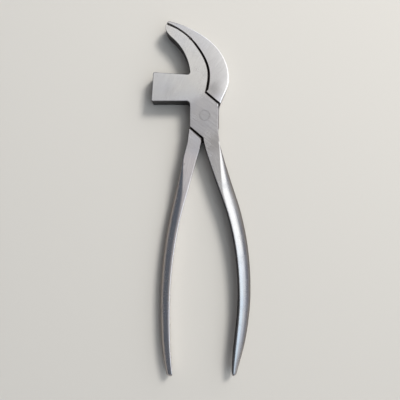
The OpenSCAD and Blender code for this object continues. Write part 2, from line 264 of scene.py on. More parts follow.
class Outline:
    """A path in plan with the edge that each of its points has, the steel being on its left."""

    def __init__(self, points: list[np.ndarray] | None = None, edges: list[Edge] | None = None) -> None:
        """Start an outline.

        Args:
            points: Its first points.
            edges: Their edges.
        """
        self.points = list(points or [])
        self.edges = list(edges or [])

    def add(self, points: np.ndarray, first: Edge, last: Edge | None = None) -> "Outline":
        """Go on along some points.

        Args:
            points: The points.
            first: Edge at the first of them.
            last: Edge at the last of them, where it differs.

        Returns:
            This outline.
        """
        points = np.atleast_2d(points)
        measured = Trace(points).lengths if len(points) > 1 else np.zeros(1)
        for point, s in zip(points, measured):
            if self.points and np.linalg.norm(point - self.points[-1]) < 1e-4:
                continue
            self.points.append(point)
            self.edges.append(first.blend(last or first, s / max(measured[-1], 1e-9)))
        return self

    def refined(self, step: float) -> "Outline":
        """The outline with no stretch longer than a step."""
        fine = Outline()
        for i in range(len(self.points) - 1):
            a, b = self.points[i], self.points[i + 1]
            count = max(1, math.ceil(np.linalg.norm(b - a) / step))
            for k in range(count):
                fine.points.append(a + (b - a) * k / count)
                fine.edges.append(self.edges[i].blend(self.edges[i + 1], k / count))
        fine.points.append(self.points[-1])
        fine.edges.append(self.edges[-1])
        return fine

    def crossed(self, turn: float, distance: float) -> "Outline":
        """The outline with a point wherever it crosses a line.

        Args:
            turn: Direction in which the line faces.
            distance: Its distance from the pivot.

        Returns:
            The new outline.
        """
        fine = Outline()
        facing = ahead(turn)
        for point, edge in zip(self.points, self.edges):
            if fine.points:
                before, past = fine.points[-1] @ facing - distance, point @ facing - distance
                if before * past < 0 and min(abs(before), abs(past)) > 1e-3:
                    t = before / (before - past)
                    fine.edges.append(fine.edges[-1].blend(edge, t))
                    fine.points.append(fine.points[-1] + (point - fine.points[-1]) * t)
            fine.points.append(point)
            fine.edges.append(edge)
        return fine

    def on_line(self, turn: float, distance: float) -> np.ndarray:
        """The outline's points on a line, in order."""
        points = np.array(self.points)
        return points[np.abs(points @ ahead(turn) - distance) < 1e-6]

    def part(self, first: int, last: int) -> "Outline":
        """The stretch from one of its points to another, both included."""
        return Outline(self.points[first : last + 1], self.edges[first : last + 1])

    def between(self) -> "Outline":
        """The outline without its two ends."""
        return Outline(self.points[1:-1], self.edges[1:-1])

    def back(self) -> "Outline":
        """The outline the other way round."""
        return Outline(self.points[::-1], self.edges[::-1])

    def joined(self, *others: "Outline") -> "Outline":
        """This outline and others after it."""
        whole = Outline(self.points, self.edges)
        for other in others:
            whole.points += other.points
            whole.edges += other.edges
        return whole

    def nearest(self, place: np.ndarray) -> int:
        """Number of the point that lies nearest to a place."""
        return int(np.argmin(np.linalg.norm(np.array(self.points) - place, axis=1)))

    def inwards(self, ends: tuple[np.ndarray, np.ndarray] | None) -> np.ndarray:
        """Step at each point that moves the outline evenly into the steel.

        Args:
            ends: The steps at its two ends, or None where it is a loop.

        Returns:
            The steps, one millimetre in.
        """
        points = np.array(self.points)
        along = np.roll(points, -1, axis=0) - points
        along /= np.linalg.norm(along, axis=1)[:, None]
        left = np.column_stack((-along[:, 1], along[:, 0]))
        before = np.roll(left, 1, axis=0)
        steps = (left + before) / np.maximum(1 + (left * before).sum(1), 0.3)[:, None]
        if ends:
            steps[0], steps[-1] = ends
        return steps


def smoothed(work: bmesh.types.BMesh, sharp: float = 38.0) -> None:
    """Shade a mesh smooth but for its sharp edges.

    Args:
        work: The mesh.
        sharp: Least angle of a sharp edge.
    """
    work.normal_update()
    for face in work.faces:
        face.smooth = True
    for edge in work.edges:
        edge.smooth = edge.is_manifold and edge.calc_face_angle(0.0) < math.radians(sharp)


class Shell:
    """Points and faces of one closed piece, gathered in millimetres and welded at the end."""

    SUPPORT = 0.2
    # The dark mark holds painted shade, on walls, gaps and slots that lie in shade.
    MARKS = ("wear", "run", "across", "hold", "dark")

    def __init__(self) -> None:
        """Start an empty shell."""
        self.points: list[np.ndarray] = []
        self.marks: list[np.ndarray] = []
        self.faces: list[tuple[int, ...]] = []
        self.count = 0

    def add(
        self,
        points: np.ndarray,
        wear: Any,
        grain: np.ndarray,
        hold: float = 0.0,
        dark: Any = 0.0,
    ) -> np.ndarray:
        """Add points.

        Args:
            points: Their places.
            wear: How much each is worn, from 0 to 1.
            grain: Where each lies along and across the grip's grinding lines.
            hold: How far they belong to a grip, from 0 to 1.
            dark: How much painted shade darkens each, from 0 to 1.

        Returns:
            Their numbers.
        """
        count = len(points)
        wear, hold, dark = (np.broadcast_to(mark, count) for mark in (wear, hold, dark))
        marks = np.column_stack((wear, grain, hold, dark))
        self.points.append(points)
        self.marks.append(marks)
        self.count += count
        return np.arange(self.count - count, self.count)

    def strip(self, a: np.ndarray, b: np.ndarray, closed: bool) -> None:
        """Join two rows of points with a strip of faces.

        Args:
            a: Numbers of the first row.
            b: Numbers of the second row.
            closed: Whether the rows are loops.
        """
        count = len(a)
        for i in range(count if closed else count - 1):
            k = (i + 1) % count
            self.faces.append((a[i], a[k], b[k], b[i]))

    def build(self, name: str) -> bpy.types.Mesh:
        """Weld the points and make the mesh; where points meet, the marks of the first one hold.

        Args:
            name: The mesh's name.

        Returns:
            The mesh, closed, facing outwards and smooth but for its sharp edges.
        """
        mesh = bpy.data.meshes.new(name)
        mesh.from_pydata((np.vstack(self.points) * MM).tolist(), [], self.faces)
        first, same = np.unique(np.round(np.vstack(self.points), 4), axis=0, return_index=True, return_inverse=True)[1:]
        marks = np.vstack(self.marks)[first[same.ravel()]]
        for column, mark in enumerate(self.MARKS):
            layer = mesh.attributes.new(mark, "FLOAT", "POINT")
            layer.data.foreach_set("value", marks[:, column].astype(np.float32))
        work = bmesh.new()
        work.from_mesh(mesh)
        bmesh.ops.remove_doubles(work, verts=work.verts, dist=2e-7)
        bmesh.ops.dissolve_degenerate(work, dist=1e-8, edges=work.edges)
        bmesh.ops.recalc_face_normals(work, faces=work.faces)
        smoothed(work)
        loose = sum(not edge.is_manifold for edge in work.edges)
        LOG.info("%s: %d faces, %d open edges", name, len(work.faces), loose)
        work.to_mesh(mesh)
        work.free()
        return mesh


# Shader graphs


class Wire:
    """A shader socket that adds Math nodes when it stands in an expression."""

    def __init__(self, graph: "Graph", socket: bpy.types.NodeSocket) -> None:
        """Wrap one output socket.

        Args:
            graph: The graph that the socket belongs to.
            socket: The output socket.
        """
        self.graph = graph
        self.socket = socket

    def __add__(self, other: "Wire | float") -> "Wire":
        """Sum of this value and another."""
        return self.graph.math("ADD", self, other)

    def __radd__(self, other: float) -> "Wire":
        """Sum of a number and this value."""
        return self.graph.math("ADD", other, self)

    def __sub__(self, other: "Wire | float") -> "Wire":
        """This value less another."""
        return self.graph.math("SUBTRACT", self, other)

    def __rsub__(self, other: float) -> "Wire":
        """A number less this value."""
        return self.graph.math("SUBTRACT", other, self)

    def __mul__(self, other: "Wire | float") -> "Wire":
        """Product of this value and another."""
        return self.graph.math("MULTIPLY", self, other)

    def __rmul__(self, other: float) -> "Wire":
        """Product of a number and this value."""
        return self.graph.math("MULTIPLY", other, self)

    def held(self, low: float = 0.0, high: float = 1.0) -> "Wire":
        """This value held between two limits."""
        return self.graph.math("MINIMUM", self.graph.math("MAXIMUM", self, low), high)


class Graph:
    """A node tree: a material's, the world's or a modifier's."""

    def __init__(self, tree: bpy.types.NodeTree) -> None:
        """Empty a tree and keep it.

        Args:
            tree: The tree to build in.
        """
        self.tree = tree
        tree.nodes.clear()

    def node(self, kind: str, settings: dict[str, Any] | None = None, **inputs: Any) -> bpy.types.Node:
        """Add one node.

        Args:
            kind: The node's type.
            settings: Attributes of the node, set before its sockets.
            inputs: Values or links by socket name, with _ for a space, or by i and a number.

        Returns:
            The new node.
        """
        made = self.tree.nodes.new(kind)
        for name, value in (settings or {}).items():
            setattr(made, name, value)
        for name, value in inputs.items():
            key = int(name[1:]) if name[0] == "i" and name[1:].isdigit() else name.replace("_", " ")
            socket = made.inputs[key]
            if isinstance(value, Wire):
                self.tree.links.new(value.socket, socket)
            else:
                socket.default_value = value
        return made

    def wire(self, kind: str, settings: dict[str, Any] | None = None, out: int | str = 0, **inputs: Any) -> Wire:
        """Add one node and return one of its outputs.

        Args:
            kind: The node's type.
            settings: Attributes of the node.
            out: Name or number of the output.
            inputs: Values or links of its sockets.

        Returns:
            The output, wrapped.
        """
        return Wire(self, self.node(kind, settings, **inputs).outputs[out])

    def math(self, operation: str, a: Wire | float, b: Wire | float) -> Wire:
        """Add a Math node on two values.

        Args:
            operation: The node's operation.
            a: First value.
            b: Second value.

        Returns:
            The result.
        """
        return self.wire("ShaderNodeMath", {"operation": operation}, i0=a, i1=b)

    def mix(self, factor: Wire | float, a: Any, b: Any) -> Wire:
        """Blend two colours.

        Args:
            factor: Share of the second colour.
            a: First colour.
            b: Second colour.

        Returns:
            The blended colour.
        """
        return self.wire("ShaderNodeMix", {"data_type": "RGBA"}, 2, i0=factor, i6=a, i7=b)

    def scaled(self, colour: Wire, factor: Wire) -> Wire:
        """Multiply a colour by a value."""
        return self.wire("ShaderNodeVectorMath", {"operation": "SCALE"}, 0, i0=colour, i3=factor)

    def ramp(self, value: Wire, low: float, high: float) -> Wire:
        """Rise smoothly from 0 at low to 1 at high.

        Args:
            value: The value that rises.
            low: Where the result is 0.
            high: Where the result is 1.

        Returns:
            The smooth step.
        """
        settings = {"interpolation_type": "SMOOTHSTEP"}
        return self.wire("ShaderNodeMapRange", settings, i0=value, i1=low, i2=high)

    def noise(self, place: Wire, scale: float, detail: float = 2.0) -> Wire:
        """Add a noise texture.

        Args:
            place: Where it is read.
            scale: Its frequency, per metre.
            detail: Its number of octaves.

        Returns:
            The noise, about 0.5.
        """
        return self.wire("ShaderNodeTexNoise", None, 0, Vector=place, Scale=scale, Detail=detail)

    def mark(self, name: str) -> Wire:
        """Read a mark of the mesh."""
        return self.wire("ShaderNodeAttribute", {"attribute_name": name}, "Fac")


class Grain(Enum):
    """Direction in plan of the grinding lines, in degrees from +X."""

    INNER_HEAD = 64.0
    OUTER_HEAD = 52.0
    JOINT = -38.0
    RIVET = -30.0


@dataclass(frozen=True)
class GroundSteel:
    """Satin ground tool steel, with grinding lines, faint stains, handling wear and painted shade."""

    slot: str
    head_tone: tuple[float, float, float]
    joint_tone: tuple[float, float, float]
    grip_tone: tuple[float, float, float]
    head_grain: Grain
    # Round spots darkened by depth: x, y, radius and depth.
    darker_patches: tuple[tuple[float, float, float, float], ...] = ()
    # Share of the colour left under full painted shade, and the brown tint of that painted shade.
    painted_shade_share: float = 0.05
    painted_shade_tint: tuple[float, float, float] = (1.07, 0.975, 0.91)
    roughness: float = 0.24
    crease: float = 11.5
    crease_turn: float = 120.0
    top: float = 11.5

    def _lines(self, graph: Graph, place: Wire, turn: float, along: float, across: float) -> Wire:
        """Noise drawn out into grinding lines.

        Args:
            graph: The material's graph.
            place: Where it is read.
            turn: Direction of the lines.
            along: Frequency along them, per metre.
            across: Frequency across them, per metre.

        Returns:
            The lines, about 0.5.
        """
        drawn = graph.wire(
            "ShaderNodeMapping",
            {"vector_type": "TEXTURE"},
            0,
            Vector=place,
            Rotation=(0.0, 0.0, math.radians(turn)),
            Scale=(1 / along, 1 / across, 1 / across),
        )
        return graph.noise(drawn, 1.0, 3.0)

    def material(self) -> bpy.types.Material:
        """Build the material.

        Returns:
            The material.
        """
        made = bpy.data.materials.new(self.slot)
        made.use_nodes = True
        graph = Graph(made.node_tree)
        place = graph.wire("ShaderNodeTexCoord", None, "Object")
        parts = graph.node("ShaderNodeSeparateXYZ", None, Vector=place)
        x, y = Wire(graph, parts.outputs[0]), Wire(graph, parts.outputs[1])
        facing = ahead(self.crease_turn) / MM
        past_crease = graph.ramp(x * float(facing[0]) + y * float(facing[1]), self.crease - 2.6, self.crease + 2.6)
        hold, wear = graph.mark("hold"), graph.mark("wear")
        run, across = graph.mark("run"), graph.mark("across")
        along_grip = graph.wire("ShaderNodeCombineXYZ", None, 0, X=run * MM, Y=across * MM)

        fine, coarse = [], []
        for source, turn in (
            (place, self.head_grain.value),
            (place, Grain.JOINT.value),
            (along_grip, 0.0),
        ):
            fine.append(self._lines(graph, source, turn, 260.0, 7000.0))
            coarse.append(self._lines(graph, source, turn, 90.0, 1500.0))
        head_fine = fine[0] * past_crease + fine[1] * (1.0 - past_crease)
        head_coarse = coarse[0] * past_crease + coarse[1] * (1.0 - past_crease)
        fine_lines = fine[2] * hold + head_fine * (1.0 - hold)
        coarse_lines = coarse[2] * hold + head_coarse * (1.0 - hold)

        clouds = graph.noise(place, 38.0, 2.0)
        smudges = graph.noise(place, 130.0, 4.0)
        specks = graph.noise(place, 900.0, 2.0)
        waves = graph.noise(place, 90.0, 1.0)

        # The joint, head and grip tones are set apart partly as painted light: on the hammer lever the joint is painted
        # darker than the head past the crease, and the left grip's tone is set well above the right grip's.
        head = graph.mix(past_crease, (*self.joint_tone, 1.0), (*self.head_tone, 1.0))
        tone = graph.mix(hold, head, (*self.grip_tone, 1.0))
        darker_patches = graph.ramp(smudges, 0.52, 0.75)
        # The dark mark is painted shade: it darkens, browns and roughens walls, bevels, slots and teeth where shade
        # falls.
        painted_shade_factor = 1.0 - (1.0 - self.painted_shade_share) * graph.mark("dark")
        light = 1.0 + 0.2 * (coarse_lines - 0.5) + 0.16 * (fine_lines - 0.5) + 0.1 * (clouds - 0.5)
        light = light - 0.07 * darker_patches - 0.3 * graph.ramp(specks, 0.7, 0.8) + 0.05 * wear
        # The first spot of each lever is painted shade, a darker reflection: by the right root on the hammer lever and
        # by the jaw's foot on the outer lever.
        for spot_x, spot_y, radius, depth in self.darker_patches:
            spot = (spot_x * MM, spot_y * MM, self.top * MM)
            away = graph.wire("ShaderNodeVectorMath", {"operation": "DISTANCE"}, 1, i0=place, i1=spot)
            light = light - depth * (1.0 - graph.ramp(away, 0.0, radius * MM))
        warm = graph.mix(graph.ramp(clouds, 0.35, 0.65), (0.985, 0.995, 1.02, 1.0), (1.015, 1.0, 0.97, 1.0))
        warm = graph.mix(graph.mark("dark"), warm, (*self.painted_shade_tint, 1.0))
        tinted = graph.wire("ShaderNodeVectorMath", {"operation": "MULTIPLY"}, 0, i0=tone, i1=warm)
        colour = graph.scaled(tinted, light * painted_shade_factor)

        rough = self.roughness + 0.09 * (coarse_lines - 0.5) + 0.08 * darker_patches - 0.05 * wear
        rough = rough + 0.2 * (1.0 - painted_shade_factor)
        height = 0.7 * fine_lines + 3.0 * coarse_lines + 5.0 * waves + 0.6 * specks
        normal = graph.wire("ShaderNodeBump", None, 0, Strength=1.0, Distance=1e-6, Height=height)
        shader = graph.wire(
            "ShaderNodeBsdfPrincipled",
            None,
            0,
            Base_Color=colour,
            Metallic=1.0,
            Roughness=rough.held(0.12, 0.6),
            Normal=normal,
        )
        graph.node("ShaderNodeOutputMaterial", None, Surface=shader)
        return made


# The tool


def placed(
    mesh: bpy.types.Mesh,
    name: str,
    material: bpy.types.Material,
    slot: str,
    body: str,
    node: str,
) -> bpy.types.Object:
    """Put a finished mesh in the scene in place of its node.

    Args:
        mesh: The mesh.
        name: The object's name.
        material: Its finish.
        slot: The slot that the finish belongs to; not used.
        body: The body that it moves with.
        node: The node that it stands for.

    Returns:
        The object.
    """
    mesh.materials.clear()
    mesh.materials.append(material)
    piece = bpy.data.objects.new(name, mesh)
    bpy.context.scene.collection.objects.link(piece)
    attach(piece, body)
    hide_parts(node)
    LOG.info("%s made", name)
    return piece


@dataclass(frozen=True)
class LapJoint:
    """Sizes of the half-lap joint and of the head's ground faces."""

    thickness: float = 11.5
    plate_back: float = 9.05
    plate_front: float = 8.3
    jaw_shoulder: float = 11.25
    grip_shoulder: float = 11.65
    turn: float = 50.0
    gap: float = 0.85
    clearance: float = 0.1
    hammer_crotch: float = 0.9
    outer_crotch: float = 2.0
    crotch_fillet: float = 1.5
    corner_round: float = 0.3
    facet_fall: float = 1.5
    facet_turn: float = 120.0
    crease_top: float = 11.5
    crease_back: float = 13.8
    crease_width: float = 1.3

    @property
    def back_turn(self) -> float:
        """Direction in which the lower layer's shoulders face."""
        return 180 - self.turn

    @property
    def plate_jaw(self) -> float:
        """How far the plates reach to the jaws."""
        return self.jaw_shoulder - self.gap / 2

    @property
    def plate_grip(self) -> float:
        """How far the plates reach to the grips."""
        return self.grip_shoulder - self.gap / 2

    @property
    def recess_jaw(self) -> float:
        """How far the recesses reach to the jaws."""
        return self.jaw_shoulder + self.gap / 2

    @property
    def recess_grip(self) -> float:
        """How far the recesses reach to the grips."""
        return self.grip_shoulder + self.gap / 2

    def _fall(self, places: np.ndarray, crease: float) -> np.ndarray:
        """How much the grinding takes off beyond a crease."""
        past = (places @ ahead(self.facet_turn) - crease) / self.crease_width
        soft = np.where(past > 30, past, np.log1p(np.exp(np.minimum(past, 30))))
        return self.crease_width * soft * math.tan(math.radians(self.facet_fall))

    def upper(self, places: np.ndarray) -> np.ndarray:
        """Height of the upper face at each place."""
        return self.thickness - self._fall(places, self.crease_top)

    def under(self, places: np.ndarray) -> np.ndarray:
        """Height of the underside at each place."""
        return self._fall(places, self.crease_back)


@dataclass(frozen=True)
class PartingLine:
    """The line on which the jaws part, with their gaps and the sizes of their teeth."""

    joint: LapJoint
    tip: Way = (-23.5, 57.0, -20.0)
    bend: Way = (-5.1, 43.2, -54.0)
    throat: Way = (2.5, 24.8, -90.0)
    corner_reach: float = 0.9
    corner_lean: float = 14.0
    nose_gap: float = 0.7
    bite_gap: float = 0.4
    relief_gap: float = 0.75
    throat_gap: float = 1.15
    nose_run: float = 8.0
    relief_run: float = 3.0
    tooth_count: int = 10
    tooth_pitch: float = 1.9
    tooth_height: float = 0.6

    def trace(self) -> Trace:
        """The line, measured from the noses."""
        corner = meet((self.corner_reach, 0.0), 90, self.joint.turn, self.joint.jaw_shoulder)
        last = (corner[0], corner[1], -90 - self.corner_lean)
        return Trace(curve([self.tip, self.bend, self.throat, last]))

    @property
    def bite_run(self) -> float:
        """Length of the toothed stretch."""
        return self.tooth_count * self.tooth_pitch

    def bite_share(self, count: int) -> int:
        """How many of an edge's points lie along the teeth."""
        return round(count * self.bite_run / self.trace().span)

    def edge(self, side: int, step: float = 0.6) -> np.ndarray:
        """One jaw's edge, at the roots of its teeth.

        Args:
            side: 1 for the outer jaw and -1 for the inner jaw.
            step: Distance between its points.

        Returns:
            The points, from the nose to the shoulder.
        """
        trace = self.trace()
        stops = np.linspace(0, trace.span, math.ceil(trace.span / step))
        gap = np.interp(
            stops,
            [0, self.nose_run, self.bite_run, self.bite_run + self.relief_run, trace.span],
            [self.nose_gap, self.bite_gap, self.bite_gap, self.relief_gap, self.throat_gap],
        )
        ends = np.minimum(stops, self.bite_run - stops) / (self.tooth_pitch / 2)
        sunk = self.tooth_height / 2 * np.clip(ends, 0, 1)
        return np.array(
            [
                trace.at(s) + ahead(trace.heading(s) + 90) * side * (g / 2 + d)
                for s, g, d in zip(stops, gap, sunk)
            ]
        )


@dataclass(frozen=True)
class Grip:
    """A bowed grip: flat inside, round outside, running out from a flat root."""

    joint: LapJoint
    side: int
    root: Way
    knee: Way
    bowed: Way
    end: Way
    widths: tuple[float, float, float, float, float]
    shares: tuple[float, float, float, float, float] = (0.0, 0.25, 0.7, 0.86, 1.0)
    thicknesses: tuple[float, float, float, float, float] = (11.5, 11.5, 9.6, 8.6, 5.6)
    round_runs: tuple[float, ...] = (0.0, 10.0, 20.0, 30.0, 42.0, 200.0)
    roundness: tuple[float, ...] = (0.03, 0.32, 0.63, 0.9, 0.97, 0.97)
    # The edges' dark shares and the rim and end values are painted shade on the grip's inner wall, outer rim and
    # rounded end.
    corner: Edge = Edge(0.5, 0.36, 1.6, 1.0)
    end_corner: Edge = Edge(0.9, 0.6, 1.6, 1.0)
    rim_painted_shade: float = 0.7
    root_edge: Edge = Edge(0.12, 0.12, 2.0, 0.6)
    corner_run: float = 24.0
    fullness: float = 1.65
    drop_share: float = 0.92
    end_round: float = 2.2
    end_painted_shade: float = 0.85
    end_middle: float = 0.35
    start: float = 0.7
    blend_run: float = 9.0
    ring_count: int = 120
    end_rings: int = 9
    flat_points: int = 3

    def spine(self) -> Trace:
        """The grip's inner edge, from its root to its end."""
        return Trace(curve([self.root, self.knee, self.bowed, self.end]))

    def _eased(self, x: tuple[float, ...], y: tuple[float, ...], u: float) -> float:
        """Smooth value between given ones.

        Args:
            x: Where the values are given.
            y: The values.
            u: Where the value is wanted.

        Returns:
            The value.
        """
        last = len(y) - 1
        k = min(max(int(np.searchsorted(x, u, side="right")) - 1, 0), last - 1)
        rise = [
            (y[min(i + 1, last)] - y[max(i - 1, 0)]) / (x[min(i + 1, last)] - x[max(i - 1, 0)])
            for i in (k, k + 1)
        ]
        w = x[k + 1] - x[k]
        t = (u - x[k]) / w
        first = y[k] * (1 + 2 * t) * (1 - t) ** 2 + rise[0] * w * t * (1 - t) ** 2
        return first + y[k + 1] * t * t * (3 - 2 * t) - rise[1] * w * t * t * (1 - t)

    def width(self, s: float, span: float) -> float:
        """Width at a length."""
        return self._eased(self.shares, self.widths, s / span)

    def depth(self, s: float, span: float) -> float:
        """Thickness at a length."""
        return min(self.joint.thickness, self._eased(self.shares, self.thicknesses, s / span))

    def edges(self, s: float, span: float) -> tuple[Edge, Edge]:
        """The inner and the outer edge at a length.

        Args:
            s: The length.
            span: The whole length.

        Returns:
            The two edges.
        """
        w, t = self.width(s, span), self.depth(s, span)
        r = self._eased(self.round_runs, self.roundness, s)
        inner = self.root_edge.blend(self.corner, min(1.0, s / self.corner_run))
        inner = inner.blend(self.end_corner, float(np.clip((s / span - 0.6) / 0.3, 0, 1)))
        return inner, Edge(r * (w - inner.inset), r * t / 2 * self.drop_share, self.fullness, self.rim_painted_shade)

    def half(self, s: float, span: float) -> np.ndarray:
        """Upper half of the section at a length.

        Args:
            s: The length.
            span: The whole length.

        Returns:
            Distance from the inner wall and height above the middle of each point.
        """
        w, t = self.width(s, span), self.depth(s, span)
        inner, outer = self.edges(s, span)
        in_rows, out_rows = inner.rows(), outer.rows()
        flat = w - inner.inset - outer.inset
        support = min(Shell.SUPPORT, flat * 0.2)
        level = np.linspace(inner.inset + support, w - outer.inset - support, self.flat_points + 2)
        in_high, out_high = t / 2 - in_rows[1], t / 2 - out_rows[1]
        in_wall, out_wall = (high[0] - min(Shell.SUPPORT, high[0] * 0.4) for high in (in_high, out_high))
        wide = np.concatenate(([0.0, 0.0], in_rows[0], level, (w - out_rows[0])[::-1], [w, w]))
        high = np.concatenate(([0.0, in_wall], in_high, np.full(len(level), t / 2), out_high[::-1], [out_wall, 0.0]))
        return np.column_stack((wide, high))

    def level(self) -> np.ndarray:
        """Points of the root's flat face in plan, from the inner to the outer edge."""
        trace = self.spine()
        half = self.half(self.start, trace.span)
        first = Edge.STEPS + 3
        wide = half[first : first + self.flat_points + 2, 0]
        return trace.at(self.start) + wide[:, None] * self.out(self.start)

    def out(self, s: float) -> np.ndarray:
        """Unit step across the grip, from its inner to its outer edge."""
        return ahead(self.spine().heading(s) + self.side * 90)

    def build(self, shell: Shell, middle: float) -> None:
        """Add the grip's skin to a shell.

        Args:
            shell: The shell.
            middle: Height of the line in which the two layers of the lever meet.
        """
        trace = self.spine()
        span = trace.span
        straight = span - self.end_round
        stops = list(np.linspace(self.start, straight, self.ring_count))
        stops += [
            straight + self.end_round * math.sin(math.pi / 2 * i / (self.end_rings + 0.5))
            for i in range(1, self.end_rings + 1)
        ]
        half_t = self.joint.thickness / 2
        rows = Edge.STEPS + 3
        before = None
        for s in stops:
            upper = self.half(s, span)
            centre = self.width(s, span) * self.end_middle
            keep = 1.0 if s <= straight else math.sqrt(max(0.0, 1 - ((s - straight) / self.end_round) ** 2))
            out = ahead(trace.heading(s) + self.side * 90)
            wide = centre + (upper[:, 0] - centre) * keep
            high = upper[:, 1] * keep
            plan = trace.at(s) + wide[:, None] * out
            lift = np.where(upper[:, 1] == 0, (middle - half_t) * keep, high)
            top = np.column_stack((plan, half_t + lift))
            low = np.column_stack((plan, half_t - high))[1:-1][::-1]
            around = np.concatenate(([0.0], np.cumsum(np.linalg.norm(np.diff(upper, axis=0), axis=1))))
            around += upper[rows, 0] - around[rows]
            wear = np.zeros(len(upper))
            wear[2:rows] = 1.0
            t = float(np.clip((s - self.start) / self.blend_run, 0, 1))
            grain = np.column_stack((np.full(len(upper), s - self.start), around))
            # Painted shade on the inner and outer walls, fading up their edges, and on the rounded end.
            dark = np.zeros(len(upper))
            fade = np.clip(1.6 - np.arange(rows - 2) * 2.8 / Edge.STEPS, 0, 1)
            inner, outer = (edge.dark for edge in self.edges(s, span))
            dark[:2], dark[2:rows] = inner, inner * fade
            dark[-2:], dark[-rows:-2] = outer, outer * fade[::-1]
            dark = np.maximum(dark, np.clip(3.0 * (1 - keep), 0, self.end_painted_shade))
            ring = shell.add(
                np.vstack((top, low)),
                np.concatenate((wear, wear[1:-1][::-1])),
                np.vstack((grain, grain[1:-1][::-1])),
                t * t * (3 - 2 * t),
                np.concatenate((dark, dark[1:-1][::-1])),
            )
            if before is not None:
                shell.strip(before, ring, True)
            before = ring
        shell.faces.append(tuple(before))


@dataclass
class Rivet:
    """The rivet, its two conical heads ground flush with the tool's faces."""

    steel: GroundSteel
    joint: LapJoint
    shank: float = 2.7
    head: float = 3.15
    head_depth: float = 1.2
    clearance: float = 0.05
    hairline: float = 0.07
    edge: float = 0.03
    segments: int = 96

    def circle(self, radius: float, height: float) -> np.ndarray:
        """Points of a circle about the axis.

        Args:
            radius: Its radius.
            height: Its height.

        Returns:
            The points.
        """
        turn = np.linspace(0, 2 * math.pi, self.segments, endpoint=False)
        return np.column_stack((radius * np.cos(turn), radius * np.sin(turn), np.full(self.segments, height)))

    def bore(self, shell: Shell, face: float, middle: float, grow: float) -> np.ndarray:
        """Add the wall of the hole through one plate to a shell.

        Args:
            shell: The shell.
            face: Height of the plate's outer face.
            middle: Height of its lap face.
            grow: How much wider than the rivet the hole is.

        Returns:
            Points of the hole's rim on the outer face.
        """
        down = 1 if middle > face else -1
        head, shank = self.head + grow, self.shank + grow
        rows = (
            (head + self.edge, face),
            (head, face + down * self.edge),
            (shank, face + down * self.head_depth),
            (shank, middle),
        )
        before = None
        for radius, height in rows:
            ring = self.circle(radius, height)
            numbers = shell.add(ring, 0.2, ring[:, :2])
            if before is not None:
                shell.strip(before, numbers, True)
            before = numbers
        return self.circle(head + self.edge, face)[:, :2]

    def build(self) -> bpy.types.Mesh:
        """Make the rivet's mesh.

        Returns:
            The mesh.
        """
        shell = Shell()
        top = self.joint.thickness
        head, shank, edge = self.head - self.hairline, self.shank - self.hairline, self.edge
        upper = [(head * 0.6, 0.0), (head - edge, 0.0), (head, edge), (shank, self.head_depth)]
        rings = []
        for radius, height in [(r, top - d) for r, d in upper] + upper[::-1]:
            ring = self.circle(radius, height)
            rings.append(shell.add(ring, 0.4, ring[:, :2]))
        for a, b in zip(rings[:-1], rings[1:]):
            shell.strip(a, b, True)
        shell.faces += [tuple(rings[0]), tuple(rings[-1])]
        return shell.build("pivot_rivet_turned")

    def make(self) -> bpy.types.Object:
        """Build the rivet and dress it.

        Returns:
            The rivet.
        """
        steel = self.steel
        return placed(self.build(), "pivot_rivet_turned", steel.material(), steel.slot, "outer_half", "pivot_rivet")


@dataclass(frozen=True)
class ToothRow:
    """Geometry nodes that set teeth along a line and fit them to the head's falling faces."""

    joint: LapJoint
    cover: float = 0.03

    def sizes(self) -> dict[str, float]:
        """The row's sizes by the names of the tree's inputs, in metres."""
        return {
            "Thickness": self.joint.thickness * MM,
            "Cover": self.cover * MM,
            "Fall": math.tan(math.radians(self.joint.facet_fall)),
            "Upper Crease": self.joint.crease_top * MM,
            "Under Crease": self.joint.crease_back * MM,
        }

    def tree(self) -> bpy.types.NodeTree:
        """Build the tree.

        Returns:
            The tree, with an input for the line, the tooth, the count, the steel and each size.
        """
        tree = bpy.data.node_groups.new("tooth_row", "GeometryNodeTree")
        graph = Graph(tree)
        kinds = {"Line": "Geometry", "Tooth": "Object", "Count": "Int", "Steel": "Material"}
        kinds.update({name: "Float" for name in self.sizes()})
        for name, kind in kinds.items():
            tree.interface.new_socket(name, in_out="INPUT", socket_type="NodeSocket" + kind)
        tree.interface.new_socket("Teeth", in_out="OUTPUT", socket_type="NodeSocketGeometry")
        entry = graph.node("NodeGroupInput")
        given = {name: Wire(graph, entry.outputs[name]) for name in kinds}

        path = graph.wire("GeometryNodeMeshToCurve", None, 0, Mesh=given["Line"])
        spread = graph.wire("GeometryNodeResampleCurve", None, 0, Curve=path, Count=given["Count"])
        form = graph.wire("GeometryNodeObjectInfo", None, "Geometry", Object=given["Tooth"])
        along = graph.wire("GeometryNodeInputTangent")
        facing = {"axis": "X", "pivot_axis": "Z"}
        turn = graph.wire("FunctionNodeAlignRotationToVector", facing, 0, Vector=along)
        row = graph.wire("GeometryNodeInstanceOnPoints", None, 0, Points=spread, Instance=form, Rotation=turn)
        real = graph.wire("GeometryNodeRealizeInstances", None, 0, Geometry=row)

        place = graph.wire("GeometryNodeInputPosition")
        parts = graph.node("ShaderNodeSeparateXYZ", None, i0=place)
        x, y, z = (Wire(graph, parts.outputs[i]) for i in range(3))
        across = ahead(self.joint.facet_turn)
        past = x * float(across[0]) + y * float(across[1])
        top = given["Thickness"] - given["Cover"] + (given["Upper Crease"] - past) * given["Fall"]
        low = given["Cover"] + (past - given["Under Crease"]) * given["Fall"]
        height = (top + low) * 0.5 + z * (top - low)
        fitted = graph.wire("ShaderNodeCombineXYZ", None, 0, X=x, Y=y, Z=height)
        moved = graph.wire("GeometryNodeSetPosition", None, 0, Geometry=real, Position=fitted)
        dressed = graph.wire("GeometryNodeSetMaterial", None, 0, Geometry=moved, Material=given["Steel"])
        graph.node("NodeGroupOutput", None, Teeth=dressed)
        return tree


